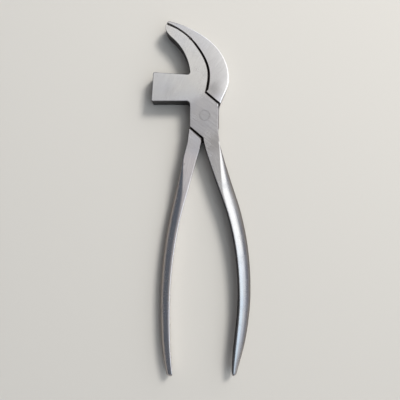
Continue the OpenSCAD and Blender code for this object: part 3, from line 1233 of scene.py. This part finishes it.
@dataclass
class Lever:
    """One forged lever: a head that is full thick or half thick by place, and a grip."""

    steel: GroundSteel
    joint: LapJoint
    parting: PartingLine
    rivet: Rivet
    grip: Grip
    # The edges' dark shares are painted shade: full at the shoulders, throat and bite, where the gaps between the
    # levers lie in shade.
    plate_edge: Edge = Edge(0.22, 0.22, 2.0, 0.85)
    shoulder_edge: Edge = Edge(0.24, 0.22, 2.0, 1.0, 16.0)
    throat_edge: Edge = Edge(0.26, 0.24, 2.0, 1.0, 6.0)
    bite_edge: Edge = Edge(0.2, 0.22, 2.0, 1.0, 0.9)
    bite_blend: int = 5
    lap_painted_shade: float = 0.4
    slot_run: float = 1.5
    outline_step: float = 0.7
    face_pitch: float = 0.65
    tooth_crest: float = 0.09
    tooth_sunk: float = 0.25
    # The teeth carry painted shade, the shade in the gap between the jaws.
    tooth_painted_shade: float = 0.85

    name = "lever"
    node = "lever"
    body = "root"
    tooth_side = 0
    tooth_start = 0.0
    tooth_number = 0

    def outline(self) -> Outline:
        """The lever's outline in plan, from one side of its grip's root to the other."""
        raise NotImplementedError

    def levels(self) -> tuple[float, float, Heights, Heights]:
        """Heights of the lap face, the way up of the plate, and its outer and its other face."""
        raise NotImplementedError

    def shoulders(self, outline: Outline) -> tuple[Outline, Outline]:
        """Lines of the jaw's and the grip's shoulder, in the order of the outline."""
        raise NotImplementedError

    def root_edges(self) -> tuple[Edge, Edge]:
        """The grip's inner and outer edge where it starts."""
        return self.grip.edges(self.grip.start, self.grip.spine().span)

    def root_points(self) -> tuple[np.ndarray, np.ndarray]:
        """The two ends of the grip's root in plan, inner and outer."""
        trace, grip = self.grip.spine(), self.grip
        inner = trace.at(grip.start)
        return inner, inner + grip.width(grip.start, trace.span) * grip.out(grip.start)

    def grain(self, places: np.ndarray) -> np.ndarray:
        """Where places lie along and across the grip's grinding lines, carried on past its root."""
        step = ahead(self.grip.spine().heading(self.grip.start))
        away = places - self.root_points()[0]
        return np.column_stack((away @ step, away @ self.grip.out(self.grip.start)))

    def rim(
        self,
        shell: Shell,
        path: Outline,
        ends: tuple[np.ndarray, np.ndarray] | None,
        middle: float,
        face: Heights,
        up: float,
    ) -> np.ndarray:
        """Add a wall and its rounded edge to a shell.

        Args:
            shell: The shell.
            path: The wall's line.
            ends: Steps into the steel at its ends, or None where it is a loop.
            middle: Height at which the wall starts.
            face: Heights of the face that it ends in.
            up: 1 where the face looks up, -1 where it looks down.

        Returns:
            The last row in plan, which lies on the face.
        """
        points = np.array(path.points)
        steps = path.inwards(ends)
        rows = [edge.rows() for edge in path.edges]
        deep = np.array([row[0] for row in rows])
        down = np.array([row[1] for row in rows])
        # Painted shade on the wall, carried up the edge's rows as far as its reach.
        dark = np.array([edge.dark for edge in path.edges])
        reach = np.array([edge.reach for edge in path.edges]) * Edge.STEPS
        start = np.column_stack((points, np.full(len(points), middle)))
        first = shell.add(start, 0.1, self.grain(points), 0.0, dark)
        below = np.column_stack((points, face(points) - up * (down[:, 0] + Shell.SUPPORT)))
        before = shell.add(below, 0.1, self.grain(points), 0.0, dark)
        shell.strip(first, before, ends is None)
        for k in range(deep.shape[1]):
            plan, same = untangled(points + steps * deep[:, k : k + 1], ends is None)
            height = face(plan) - up * down[same, k]
            left = dark[same] * np.clip(1 - k / reach[same], 0, 1)
            row = shell.add(np.column_stack((plan, height)), 1.0, self.grain(plan), 0.0, left)
            shell.strip(before, row, ends is None)
            before = row
        plan, same = untangled(points + steps * (deep[:, -1:] + Shell.SUPPORT), ends is None)
        row = shell.add(np.column_stack((plan, face(plan))), 0.55, self.grain(plan))
        shell.strip(before, row, ends is None)
        return plan

    def fill(
        self,
        shell: Shell,
        loop: np.ndarray,
        face: Heights,
        hole: np.ndarray | None,
        shade: Heights | None = None,
    ) -> None:
        """Add a face inside a loop to a shell.

        Args:
            shell: The shell.
            loop: The loop in plan.
            face: Heights of the face.
            hole: Rim of a round hole in it.
            shade: How much painted shade darkens the face at each place.
        """
        pitch = self.face_pitch
        low, high = loop.min(0), loop.max(0)
        rows = np.arange(low[1], high[1], pitch * 0.866)
        x, y = np.meshgrid(np.arange(low[0], high[0], pitch), rows)
        x = x + (np.arange(len(rows)) % 2)[:, None] * pitch / 2
        places = np.column_stack((x.ravel(), y.ravel()))
        closed = np.vstack((loop, loop[:1]))
        places = places[inside(places, loop)]
        places = places[distances(places, closed) > pitch * 0.55]
        rim, radius = np.empty((0, 2)), 0.0
        if hole is not None:
            rim, radius = hole, float(np.linalg.norm(hole[0]))
            places = places[np.linalg.norm(places, axis=1) > radius + pitch * 0.4]
        n, m = len(loop), len(rim)
        plan = [Vector(point) for point in np.vstack((loop, rim, places)).tolist()]
        edges = [(n + i, n + (i + 1) % m) for i in range(m)]
        found, _, triangles, *_ = delaunay_2d_cdt(plan, edges, [list(range(n))], 1, 1e-7)
        plan = np.array([tuple(v) for v in found])
        triangles = np.array([tuple(t) for t in triangles])
        centres = plan[triangles].mean(1)
        keep = inside(centres, loop) & (np.linalg.norm(centres, axis=1) > radius * 0.999)
        wear = 0.55 * np.exp(-distances(plan, closed) / 0.5)
        dark = shade(plan) if shade else 0.0
        numbers = shell.add(np.column_stack((plan, face(plan))), wear, self.grain(plan), 0.0, dark)
        shell.faces += [tuple(numbers[t]) for t in triangles[keep]]

    def build(self) -> bpy.types.Mesh:
        """Make the lever's mesh.

        Returns:
            The mesh.
        """
        shell, joint = Shell(), self.joint
        middle, up, outer_face, other_face = self.levels()
        turn = joint.back_turn if up > 0 else joint.turn
        outline = self.outline().refined(self.outline_step)
        outline = outline.crossed(turn, joint.recess_jaw).crossed(turn, -joint.recess_grip)
        jaw_line, grip_line = self.shoulders(outline)
        first, last = outline.nearest(jaw_line.points[0]), outline.nearest(jaw_line.points[-1])
        leave, back = outline.nearest(grip_line.points[0]), outline.nearest(grip_line.points[-1])
        jaw_line = jaw_line.refined(self.outline_step).between()
        grip_line = grip_line.refined(self.outline_step).between()
        out = self.grip.out(self.grip.start)
        ends = (-out, out) if self.grip.side > 0 else (out, -out)
        level = (self.grip.level() if self.grip.side > 0 else self.grip.level()[::-1])[1:-1]
        grow = self.rivet.clearance if up > 0 else 0.0

        rim = self.rivet.bore(shell, joint.thickness if up > 0 else 0.0, middle, grow)
        loop = self.rim(shell, outline, ends, middle, outer_face, up)
        self.fill(shell, np.vstack((loop, level)), outer_face, rim)

        jaw = outline.part(first, last).joined(jaw_line.back())
        loop = self.rim(shell, jaw, None, middle, other_face, -up)
        self.fill(shell, loop, other_face, None)

        root = outline.part(0, leave).joined(grip_line, outline.part(back, len(outline.points) - 1))
        loop = self.rim(shell, root, ends, middle, other_face, -up)
        self.fill(shell, np.vstack((loop, level)), other_face, None)

        lap = outline.part(leave, first).joined(jaw_line, outline.part(last, back), grip_line.back())
        rim = self.rivet.circle(self.rivet.shank + grow, middle)[:, :2]
        slot = joint.plate_jaw - self.slot_run

        def shade(plan: np.ndarray) -> np.ndarray:
            """Painted shade on the lap face: lighter round the rivet, full where the slots are, which lie in shade."""
            out = (np.abs(plan @ ahead(turn)) - slot) / self.slot_run
            return self.lap_painted_shade + (1 - self.lap_painted_shade) * np.clip(out, 0, 1)

        self.fill(shell, np.array(lap.points), lambda plan: np.full(len(plan), middle), rim, shade)

        self.grip.build(shell, middle)
        return shell.build(self.name)

    def tooth(self) -> bpy.types.Object:
        """One tooth: a ridge one pitch wide and one metre tall, its crest on +Y.

        Returns:
            The tooth, as an object.
        """
        wide, tall, crest = self.parting.tooth_pitch / 2, self.parting.tooth_height, self.tooth_crest
        half = [(wide, -self.tooth_sunk), (wide, 0.0), (crest, tall * 0.93), (crest * 0.45, tall)]
        line = half + [(-x, y) for x, y in half[::-1]]
        shell = Shell()
        rings = []
        for height, cut in ((-0.5, 0.16), (-0.488, 0.03), (-0.47, 0.0), (0.47, 0.0), (0.488, 0.03), (0.5, 0.16)):
            ring = np.array([(x, min(y, tall - cut), height / MM) for x, y in line])
            rings.append(shell.add(ring, 0.8, ring[:, :2], 0.0, self.tooth_painted_shade))
        for a, b in zip(rings[:-1], rings[1:]):
            shell.strip(a, b, True)
        shell.faces += [tuple(rings[0]), tuple(rings[-1])]
        name = self.name + "_tooth"
        tooth = bpy.data.objects.new(name, shell.build(name))
        bpy.context.scene.collection.objects.link(tooth)
        return tooth

    def bite_line(self) -> bpy.types.Object:
        """The line on which the teeth stand, from the first crest to the last.

        Returns:
            The line, as an object of edges.
        """
        parting, trace = self.parting, self.parting.trace()
        stops = np.linspace(self.tooth_start, parting.bite_run - self.tooth_start, 60)
        root = np.interp(stops, [0, parting.nose_run], [parting.nose_gap, parting.bite_gap]) / 2
        root = (root + parting.tooth_height / 2) * self.tooth_side
        points = [trace.at(s) + ahead(trace.heading(s) + 90) * d for s, d in zip(stops, root)]
        if self.tooth_side > 0:
            points.reverse()
        name = self.name + "_bite"
        mesh = bpy.data.meshes.new(name)
        edges = [(i, i + 1) for i in range(len(points) - 1)]
        mesh.from_pydata([(p[0] * MM, p[1] * MM, 0.0) for p in points], edges, [])
        line = bpy.data.objects.new(name, mesh)
        bpy.context.scene.collection.objects.link(line)
        return line

    def teeth(self, steel: bpy.types.Material) -> bpy.types.Mesh:
        """Set the teeth along the jaw.

        Args:
            steel: The lever's finish.

        Returns:
            The teeth's mesh.
        """
        tooth, line, row = self.tooth(), self.bite_line(), ToothRow(self.joint)
        modifier = line.modifiers.new("teeth", "NODES")
        modifier.node_group = row.tree()
        given = {"Tooth": tooth, "Count": self.tooth_number, "Steel": steel, **row.sizes()}
        for item in modifier.node_group.interface.items_tree:
            if item.in_out == "INPUT" and item.name in given:
                modifier[item.identifier] = given[item.name]
        graph = bpy.context.evaluated_depsgraph_get()
        mesh = bpy.data.meshes.new_from_object(line.evaluated_get(graph))
        line.modifiers.remove(modifier)
        for done in (tooth, line):
            bpy.data.objects.remove(done)
        LOG.info("%s: %d teeth, %d faces", self.name, self.tooth_number, len(mesh.polygons))
        return mesh

    def make(self) -> bpy.types.Object:
        """Build the lever with its teeth and dress it.

        Returns:
            The lever.
        """
        steel = self.steel.material()
        mesh, teeth = self.build(), self.teeth(steel)
        work = bmesh.new()
        work.from_mesh(mesh)
        work.from_mesh(teeth)
        smoothed(work)
        work.to_mesh(mesh)
        work.free()
        bpy.data.meshes.remove(teeth)
        return placed(mesh, self.name, steel, self.steel.slot, self.body, self.node)


@dataclass
class HammerLever(Lever):
    """The lever with the inner jaw, the hammer head, the upper plate and the right grip."""

    inner_nose: float = 2.2
    nose_break: float = 45.0
    hollow: Way = (-18.2, 46.4, -45.0)
    neck_reach: float = 8.8
    neck_lean: float = 6.0
    neck_fillet: float = 1.6
    hammer_reach: float = 32.4
    hammer_low: float = 8.8
    hammer_neck_h: float = 16.4
    hammer_face_h: float = 18.0
    face_lean: float = 3.6
    hammer_round: float = 0.8
    foot_fillet: float = 2.2
    hip: Way = (9.12, -15.8, 98.0)
    side_rise: float = -6.0
    side_steps: int = 16
    side_end: float = 1.2
    # The edges' dark shares are painted shade on their walls: nearly full along the hammer and the hollow, and full on
    # the heel, which lie in shade.
    hammer_edge: Edge = Edge(0.42, 0.3, 1.7, 0.92)
    heel_edge: Edge = Edge(0.42, 0.3, 1.7, 1.0)
    hollow_edge: Edge = Edge(0.25, 0.25, 2.0, 0.92)
    side_edge: Edge = Edge(0.8, 0.03, 1.2, 0.5)

    name = "hammer_lever_forged"
    node = "hammer_lever"
    body = "hammer_half"
    tooth_side = -1
    tooth_start = 0.95
    tooth_number = 10

    def levels(self) -> tuple[float, float, Heights, Heights]:
        """Heights of the lap face, the way up of the plate, and its outer and its other face."""
        joint = self.joint
        return joint.thickness / 2 + joint.clearance / 2, 1.0, joint.upper, joint.under

    def outline(self) -> Outline:
        """The lever's outline in plan, from the outer to the inner side of its grip's root."""
        joint, parting = self.joint, self.parting
        inner, outer = self.root_points()
        inner_edge, outer_edge = self.root_edges()
        root = self.grip.spine().heading(self.grip.start)
        line = Outline()
        side = [(outer[0], outer[1], root + 179), self.hip, (joint.plate_front, self.side_rise, 90.0)]
        side = curve(side, self.side_steps)
        line.add(side[: self.side_steps], outer_edge, self.side_edge)
        line.add(side[self.side_steps :], self.side_edge)
        top = meet((joint.plate_front, 0.0), 90, joint.turn, joint.plate_jaw)
        line.add(top - self.side_end * ahead(90), self.side_edge)
        line.add(rounded(top, 90, joint.turn + 90, joint.corner_round), self.plate_edge, self.shoulder_edge)
        edge = parting.edge(-1)
        lean = -90 - parting.corner_lean
        corner = meet(edge[-1], lean, joint.turn, joint.plate_jaw)
        line.add(rounded(corner, joint.turn + 90, lean + 180, 0.25), self.shoulder_edge, self.throat_edge)
        far = parting.bite_share(len(edge))
        near = far - self.bite_blend
        line.add(edge[far:-1][::-1], self.throat_edge)
        line.add(edge[near:far][::-1], self.throat_edge, self.bite_edge)
        line.add(edge[1:near][::-1], self.bite_edge)

        tip, slope = parting.trace().at(0), parting.tip[2]
        nose = tip - self.inner_nose * ahead(90 + slope)
        foot = np.array((-self.neck_reach, self.hammer_low + self.hammer_neck_h))
        lean_in = math.tan(math.radians(self.face_lean))
        head_foot = np.array((-self.hammer_reach - self.hammer_face_h / 2 * lean_in, self.hammer_low))
        head_top = head_foot + self.hammer_face_h * np.array((lean_in, 1.0))
        rise = math.degrees(math.atan2(head_top[1] - foot[1], foot[0] - head_top[0]))
        neck = rounded(foot, self.neck_lean - 90, -180 - rise, self.neck_fillet, 14)
        way = [
            (edge[0][0], edge[0][1], 180 + slope + self.nose_break),
            (nose[0], nose[1], -90.0),
            self.hollow,
            (neck[0][0], neck[0][1], self.neck_lean - 90),
        ]
        line.add(curve(way, 32), self.bite_edge, self.hollow_edge)
        line.add(neck, self.hollow_edge, self.hammer_edge)
        down = -90 - self.face_lean
        line.add(rounded(head_top, -180 - rise, down, self.hammer_round), self.hammer_edge)
        line.add(rounded(head_foot, down, 0, self.hammer_round), self.hammer_edge, self.heel_edge)
        heel = np.array((-joint.plate_back, self.hammer_low))
        line.add(rounded(heel, 0, -90, self.foot_fillet, 16), self.heel_edge, self.plate_edge)
        low = meet((-joint.plate_back, 0.0), 90, joint.turn + 180, joint.plate_grip)
        line.add(rounded(low, -90, joint.turn - 90, joint.corner_round), self.plate_edge, self.shoulder_edge)
        crotch = meet((-joint.hammer_crotch, 0.0), 90, joint.turn + 180, joint.plate_grip)
        line.add(rounded(crotch, joint.turn - 90, -86.0, joint.crotch_fillet, 10), self.shoulder_edge)
        last = line.points[-1]
        line.add(curve([(last[0], last[1], -86.0), (inner[0], inner[1], root)], 12), self.shoulder_edge, inner_edge)
        return line

    def shoulders(self, outline: Outline) -> tuple[Outline, Outline]:
        """Lines of the jaw's and the grip's shoulder, in the order of the outline."""
        turn = self.joint.back_turn
        jaw = outline.on_line(turn, self.joint.recess_jaw)[[0, -1]]
        grip = outline.on_line(turn, -self.joint.recess_grip)[[0, -1]]
        return Outline().add(jaw, self.shoulder_edge), Outline().add(grip, self.shoulder_edge)


@dataclass
class OuterLever(Lever):
    """The lever with the outer jaw, the lower plate and the left grip."""

    outer_nose: float = 2.1
    nose_round: float = 1.6
    crest_slope: float = 15.0
    back: Way = (15.0, 22.4, 90.0)
    back_foot: float = 9.7
    back_lean: float = 18.0
    root_heading: float = 82.0
    # The edges' dark shares are painted shade on their walls: light along the jaw's back and nose, full at the grip's
    # shoulder and the crotch, where the gaps lie in shade.
    foot_edge: Edge = Edge(0.5, 0.25, 1.3, 0.3)
    back_edge: Edge = Edge(0.78, 0.21, 1.2, 0.2)
    brow_edge: Edge = Edge(0.35, 0.14, 1.6, 0.2)
    nose_edge: Edge = Edge(0.4, 0.25, 1.3, 0.3)
    root_edge: Edge = Edge(0.24, 0.2, 2.0, 1.0, 16.0)
    crotch_edge: Edge = Edge(0.75, 0.6, 2.0, 1.0, 6.0)
    crown_width: float = 8.0
    crown_depth: float = 0.2
    crown_margin: float = 0.8
    back_steps: int = 48

    name = "outer_lever_forged"
    node = "outer_lever"
    body = "outer_half"
    tooth_side = 1
    tooth_start = 1.9
    tooth_number = 9

    def back_line(self) -> np.ndarray:
        """The outer jaw's back in plan, from the plate to the nose."""
        joint, parting = self.joint, self.parting
        foot = meet((self.back_foot, 0.0), 90, joint.turn, joint.recess_jaw)
        tip, slope = parting.trace().at(0), parting.tip[2]
        crest = tip + self.outer_nose * ahead(90 + slope) + self.nose_round * ahead(slope)
        first = parting.edge(1)[0]
        way = [
            (joint.plate_back, 0.0, 90.0),
            (foot[0], foot[1], 90 - self.back_lean),
            self.back,
            (crest[0], crest[1], 180 - self.crest_slope),
            (first[0], first[1], -90 + slope),
        ]
        return curve(way, self.back_steps)

    def crown(self, plan: np.ndarray) -> np.ndarray:
        """How much the jaw's faces fall towards its back at each place."""
        n = self.back_steps
        from_back = distances(plan, self.back_line()[n : 3 * n + n // 4])
        from_teeth = distances(plan, self.parting.trace().points)
        width = np.clip(from_back + from_teeth - self.crown_margin, 0.5, self.crown_width)
        near = np.clip(1 - from_back / width, 0, 1)
        fade = np.clip((plan[:, 1] - 3) / 8, 0, 1)
        return self.crown_depth * width / self.crown_width * near**2 * fade

    def levels(self) -> tuple[float, float, Heights, Heights]:
        """Heights of the lap face, the way up of the plate, and its outer and its other face."""
        joint = self.joint
        return (
            joint.thickness / 2 - joint.clearance / 2,
            -1.0,
            lambda plan: joint.under(plan) + self.crown(plan),
            lambda plan: joint.upper(plan) - self.crown(plan),
        )

    def outline(self) -> Outline:
        """The lever's outline in plan, from the inner to the outer side of its grip's root."""
        joint, parting = self.joint, self.parting
        inner, outer = self.root_points()
        inner_edge, outer_edge = self.root_edges()
        line = Outline().add(inner, inner_edge)
        crotch = meet((-joint.outer_crotch, 0.0), 90, joint.back_turn + 180, joint.plate_grip)
        line.add(crotch, self.shoulder_edge)
        low = meet((joint.plate_back, 0.0), 90, joint.back_turn + 180, joint.plate_grip)
        line.add(rounded(low, joint.back_turn - 90, 90, joint.corner_round), self.shoulder_edge, self.plate_edge)
        back, n = self.back_line(), self.back_steps
        line.add(back[:n], self.plate_edge, self.foot_edge)
        line.add(back[n : 2 * n], self.foot_edge, self.back_edge)
        line.add(back[2 * n : 2 * n + n // 3], self.back_edge, self.brow_edge)
        line.add(back[2 * n + n // 3 :], self.brow_edge, self.nose_edge)
        facing = ahead(joint.back_turn)
        edge = parting.edge(1)
        far = parting.bite_share(len(edge))
        near = far - self.bite_blend
        kept = edge[edge @ facing > joint.plate_jaw + 0.3]
        line.add(kept[1:near], self.bite_edge)
        line.add(kept[near:far], self.bite_edge, self.throat_edge)
        line.add(kept[far:], self.throat_edge)
        lean = -90 - parting.corner_lean
        corner = meet(kept[-1], lean, joint.back_turn, joint.plate_jaw)
        line.add(rounded(corner, lean, joint.back_turn + 90, 0.2), self.throat_edge, self.shoulder_edge)
        top = meet((-joint.plate_front, 0.0), 90, joint.back_turn, joint.plate_jaw)
        line.add(rounded(top, joint.back_turn + 90, -90, joint.corner_round), self.shoulder_edge, self.plate_edge)
        shoulder = self.root_shoulder()
        line.add(meet(shoulder, joint.turn, 180, joint.plate_front), self.plate_edge)
        line.add(shoulder, self.root_edge)
        most = shoulder + (outer - shoulder) * 0.75
        down = self.root_heading - 180
        way = [
            (shoulder[0], shoulder[1], down),
            (most[0], most[1], down - 0.5),
            (outer[0], outer[1], self.grip.spine().heading(self.grip.start) + 1),
        ]
        return line.add(curve(way, 10), self.root_edge, outer_edge)

    def root_shoulder(self) -> np.ndarray:
        """Where the grip's outer edge reaches its shoulder."""
        joint = self.joint
        return meet(self.root_points()[1], self.root_heading, joint.turn + 180, joint.recess_grip)

    def shoulders(self, outline: Outline) -> tuple[Outline, Outline]:
        """Lines of the jaw's and the grip's shoulder, in the order of the outline."""
        joint = self.joint
        ends = outline.on_line(joint.turn, joint.recess_jaw)[[0, -1]]
        near = ends[0] + (ends[1] - ends[0]) * 2 / np.linalg.norm(ends[1] - ends[0])
        jaw = Outline().add(np.array((ends[0], near)), self.foot_edge, self.root_edge).add(ends[1], self.root_edge)
        crotch = meet((-joint.outer_crotch, 0.0), 90, joint.back_turn + 180, joint.plate_grip)
        bend = meet((-joint.outer_crotch, 0.0), 90, joint.turn + 180, joint.recess_grip)
        grip = Outline().add(crotch, self.root_edge)
        grip.add(rounded(bend, 90, joint.turn + 90, 0.3), self.crotch_edge)
        return jaw, grip.add(self.root_shoulder(), self.root_edge)


# The studio


@dataclass(frozen=True)
class PaleFloor:
    """A plain, pale, matt floor."""

    tone: tuple[float, float, float] = (0.58, 0.55, 0.505)
    half_side: float = 2.5

    def build(self) -> None:
        """Lay the floor under the tool."""
        mesh = bpy.data.meshes.new("floor")
        side = self.half_side
        mesh.from_pydata([(-side, -side, 0), (side, -side, 0), (side, side, 0), (-side, side, 0)], [], [(0, 1, 2, 3)])
        made = bpy.data.materials.new("pale_floor")
        made.use_nodes = True
        graph = Graph(made.node_tree)
        shader = graph.wire("ShaderNodeBsdfPrincipled", None, 0, Base_Color=(*self.tone, 1.0), Roughness=0.85)
        graph.node("ShaderNodeOutputMaterial", None, Surface=shader)
        mesh.materials.append(made)
        floor = bpy.data.objects.new("floor", mesh)
        bpy.context.scene.collection.objects.link(floor)
        LOG.info("floor laid")


@dataclass(frozen=True)
class SoftLight:
    """One rectangular soft light, its sides along X and Y, placed by how far it leans from the zenith."""

    name: str
    lean_x: float
    lean_y: float
    width: float
    height: float
    brightness: float
    tone: tuple[float, float, float] = (1.0, 1.0, 1.0)
    distance: float = 1.2

    def build(self, target: Vector) -> None:
        """Hang the light and turn it to the tool.

        Args:
            target: The point that it faces.
        """
        data = bpy.data.lights.new(self.name, "AREA")
        data.shape = "RECTANGLE"
        data.size = self.width
        data.size_y = self.height
        data.energy = self.brightness * 4 * self.width * self.height
        data.color = self.tone
        lamp = bpy.data.objects.new(self.name, data)
        across, along = math.radians(self.lean_x), math.radians(self.lean_y)
        towards = Vector((math.tan(across), math.tan(along), 1.0))
        lamp.location = target + towards.normalized() * self.distance
        lamp.visible_glossy = False
        lamp.rotation_euler = (-math.atan(math.tan(along) * math.cos(across)), across, 0.0)
        bpy.context.scene.collection.objects.link(lamp)


@dataclass(frozen=True)
class Studio:
    """The camera straight above, the soft lights and the world."""

    camera_place: tuple[float, float, float] = (-2.894 * MM, -52.217 * MM, 275.6 * MM)
    field_of_view: float = 50.0
    left_tone: tuple[float, float, float] = (0.1, 0.115, 0.14)
    right_tone: tuple[float, float, float] = (0.25, 0.27, 0.33)
    zenith_tone: tuple[float, float, float] = (0.48, 0.472, 0.478)
    far_tone: tuple[float, float, float] = (0.97, 0.975, 0.975)
    window_near: tuple[float, float, float] = (1.17, 1.43, 1.66)
    window_far: tuple[float, float, float] = (1.85, 1.9, 1.93)
    window_side: tuple[float, float, float] = (0.86, 0.9, 0.97)
    backdrop_tone: tuple[float, float, float] = (0.66, 0.65, 0.63)
    lights: tuple[SoftLight, ...] = (SoftLight("window_light", 34.0, 38.0, 0.3, 0.3, 30.0, (1.0, 0.99, 0.97)),)

    def _world(self) -> None:
        """Give the world its soft light, dark to the left and with a window to the right, behind a plain backdrop."""
        world = bpy.data.worlds.new("studio")
        bpy.context.scene.world = world
        world.use_nodes = True
        graph = Graph(world.node_tree)
        place = graph.wire("ShaderNodeTexCoord", None, "Generated")
        parts = graph.node("ShaderNodeSeparateXYZ", None, Vector=place)
        x, y, z = (Wire(graph, parts.outputs[i]) for i in range(3))
        sides = graph.mix(graph.ramp(x, -0.6, 0.6), (*self.left_tone, 1.0), (*self.right_tone, 1.0))
        sky = graph.mix(graph.ramp(z, 0.8, 0.98), sides, (*self.zenith_tone, 1.0))
        beyond = graph.ramp(y, 0.19, 0.34) * (1.0 - graph.ramp(y, 0.5, 0.75)) * graph.ramp(x, -0.4, -0.12)
        sky = graph.mix(beyond, sky, (*self.far_tone, 1.0))
        window = graph.mix(graph.ramp(y, -0.32, 0.0), (*self.window_near, 1.0), (*self.window_far, 1.0))
        low_side = graph.ramp(x, 0.5, 0.68) * (1.0 - graph.ramp(y, -0.28, -0.05))
        window = graph.mix(low_side, window, (*self.window_side, 1.0))
        in_window = graph.ramp(x, 0.12, 0.22) * (1.0 - graph.ramp(x, 0.74, 0.92)) * graph.ramp(y, -0.75, -0.45)
        sky = graph.mix(in_window, sky, window)
        seen = graph.wire("ShaderNodeLightPath", None, "Is Camera Ray")
        sky = graph.mix(seen, sky, (*self.backdrop_tone, 1.0))
        shader = graph.wire("ShaderNodeBackground", None, 0, Color=sky, Strength=1.0)
        graph.node("ShaderNodeOutputWorld", None, Surface=shader)

    def build(self) -> None:
        """Set up the camera, the world and the lights."""
        scene = bpy.context.scene
        data = bpy.data.cameras.new("camera")
        data.angle = math.radians(self.field_of_view)
        camera = bpy.data.objects.new("camera", data)
        camera.location = self.camera_place
        scene.collection.objects.link(camera)
        scene.camera = camera
        scene.view_settings.view_transform = "Standard"
        self._world()
        for light in self.lights:
            light.build(Vector((0.0, -50.0 * MM, 0.0)))
        LOG.info("studio set")


@dataclass
class Pincers:
    """The whole tool: the two levers and the rivet."""

    joint: LapJoint = field(default_factory=LapJoint)
    # Each steel's first darker patch is painted shade: by the right root on the hammer lever, by the outer jaw's foot
    # on the outer lever.
    hammer_steel: GroundSteel = GroundSteel(
        "hammer_lever_steel", (0.67, 0.66, 0.655), (0.57, 0.555, 0.555), (0.56, 0.55, 0.555), Grain.INNER_HEAD,
        ((6.5, -17.0, 9.0, 0.18), (-22.0, 15.0, 7.0, 0.08)),
    )
    outer_steel: GroundSteel = GroundSteel(
        "outer_lever_steel", (0.61, 0.6, 0.61), (0.71, 0.695, 0.705), (0.84, 0.79, 0.775), Grain.OUTER_HEAD,
        ((5.5, 15.5, 8.5, 0.3), (-12.7, -30.0, 0.9, 0.35)),
    )
    rivet_steel: GroundSteel = GroundSteel(
        "rivet_steel", (0.56, 0.55, 0.55), (0.56, 0.55, 0.55), (0.56, 0.55, 0.55), Grain.RIVET
    )

    def make(self) -> None:
        """Build and dress each piece."""
        joint, parting = self.joint, PartingLine(self.joint)
        rivet = Rivet(self.rivet_steel, joint)
        right = Grip(
            joint,
            1,
            (0.6, -20.5, -73.0),
            (11.4, -52.4, -70.0),
            (21.2, -112.0, -90.0),
            (17.1, -162.6, -91.0),
            (9.1, 8.6, 7.4, 6.3, 2.8),
        )
        left = Grip(
            joint,
            -1,
            (-3.0, -20.0, -107.0),
            (-12.1, -52.4, -106.0),
            (-21.8, -125.0, -90.0),
            (-20.0, -162.6, -83.0),
            (8.3, 7.2, 5.9, 5.3, 3.7),
            round_runs=(0.0, 10.0, 20.0, 34.0, 50.0, 200.0),
            roundness=(0.05, 0.08, 0.4, 0.84, 0.97, 0.97),
            # The left grip's inner edges carry little painted shade, as its inner wall faces the light; the right
            # grip's carry full painted shade, as its wall faces away.
            corner=Edge(0.34, 0.16, 1.3, 0.1),
            end_corner=Edge(0.3, 0.15, 1.3, 0.1),
            rim_painted_shade=0.85,
        )
        rivet.make()
        HammerLever(self.hammer_steel, joint, parting, rivet, right).make()
        OuterLever(self.outer_steel, joint, parting, rivet, left).make()


def main() -> None:
    """Build the scene."""
    logging.basicConfig(level=logging.INFO, format="%(message)s")
    Studio().build()
    PaleFloor().build()
    Pincers().make()


if __name__ == "__main__":
    main()
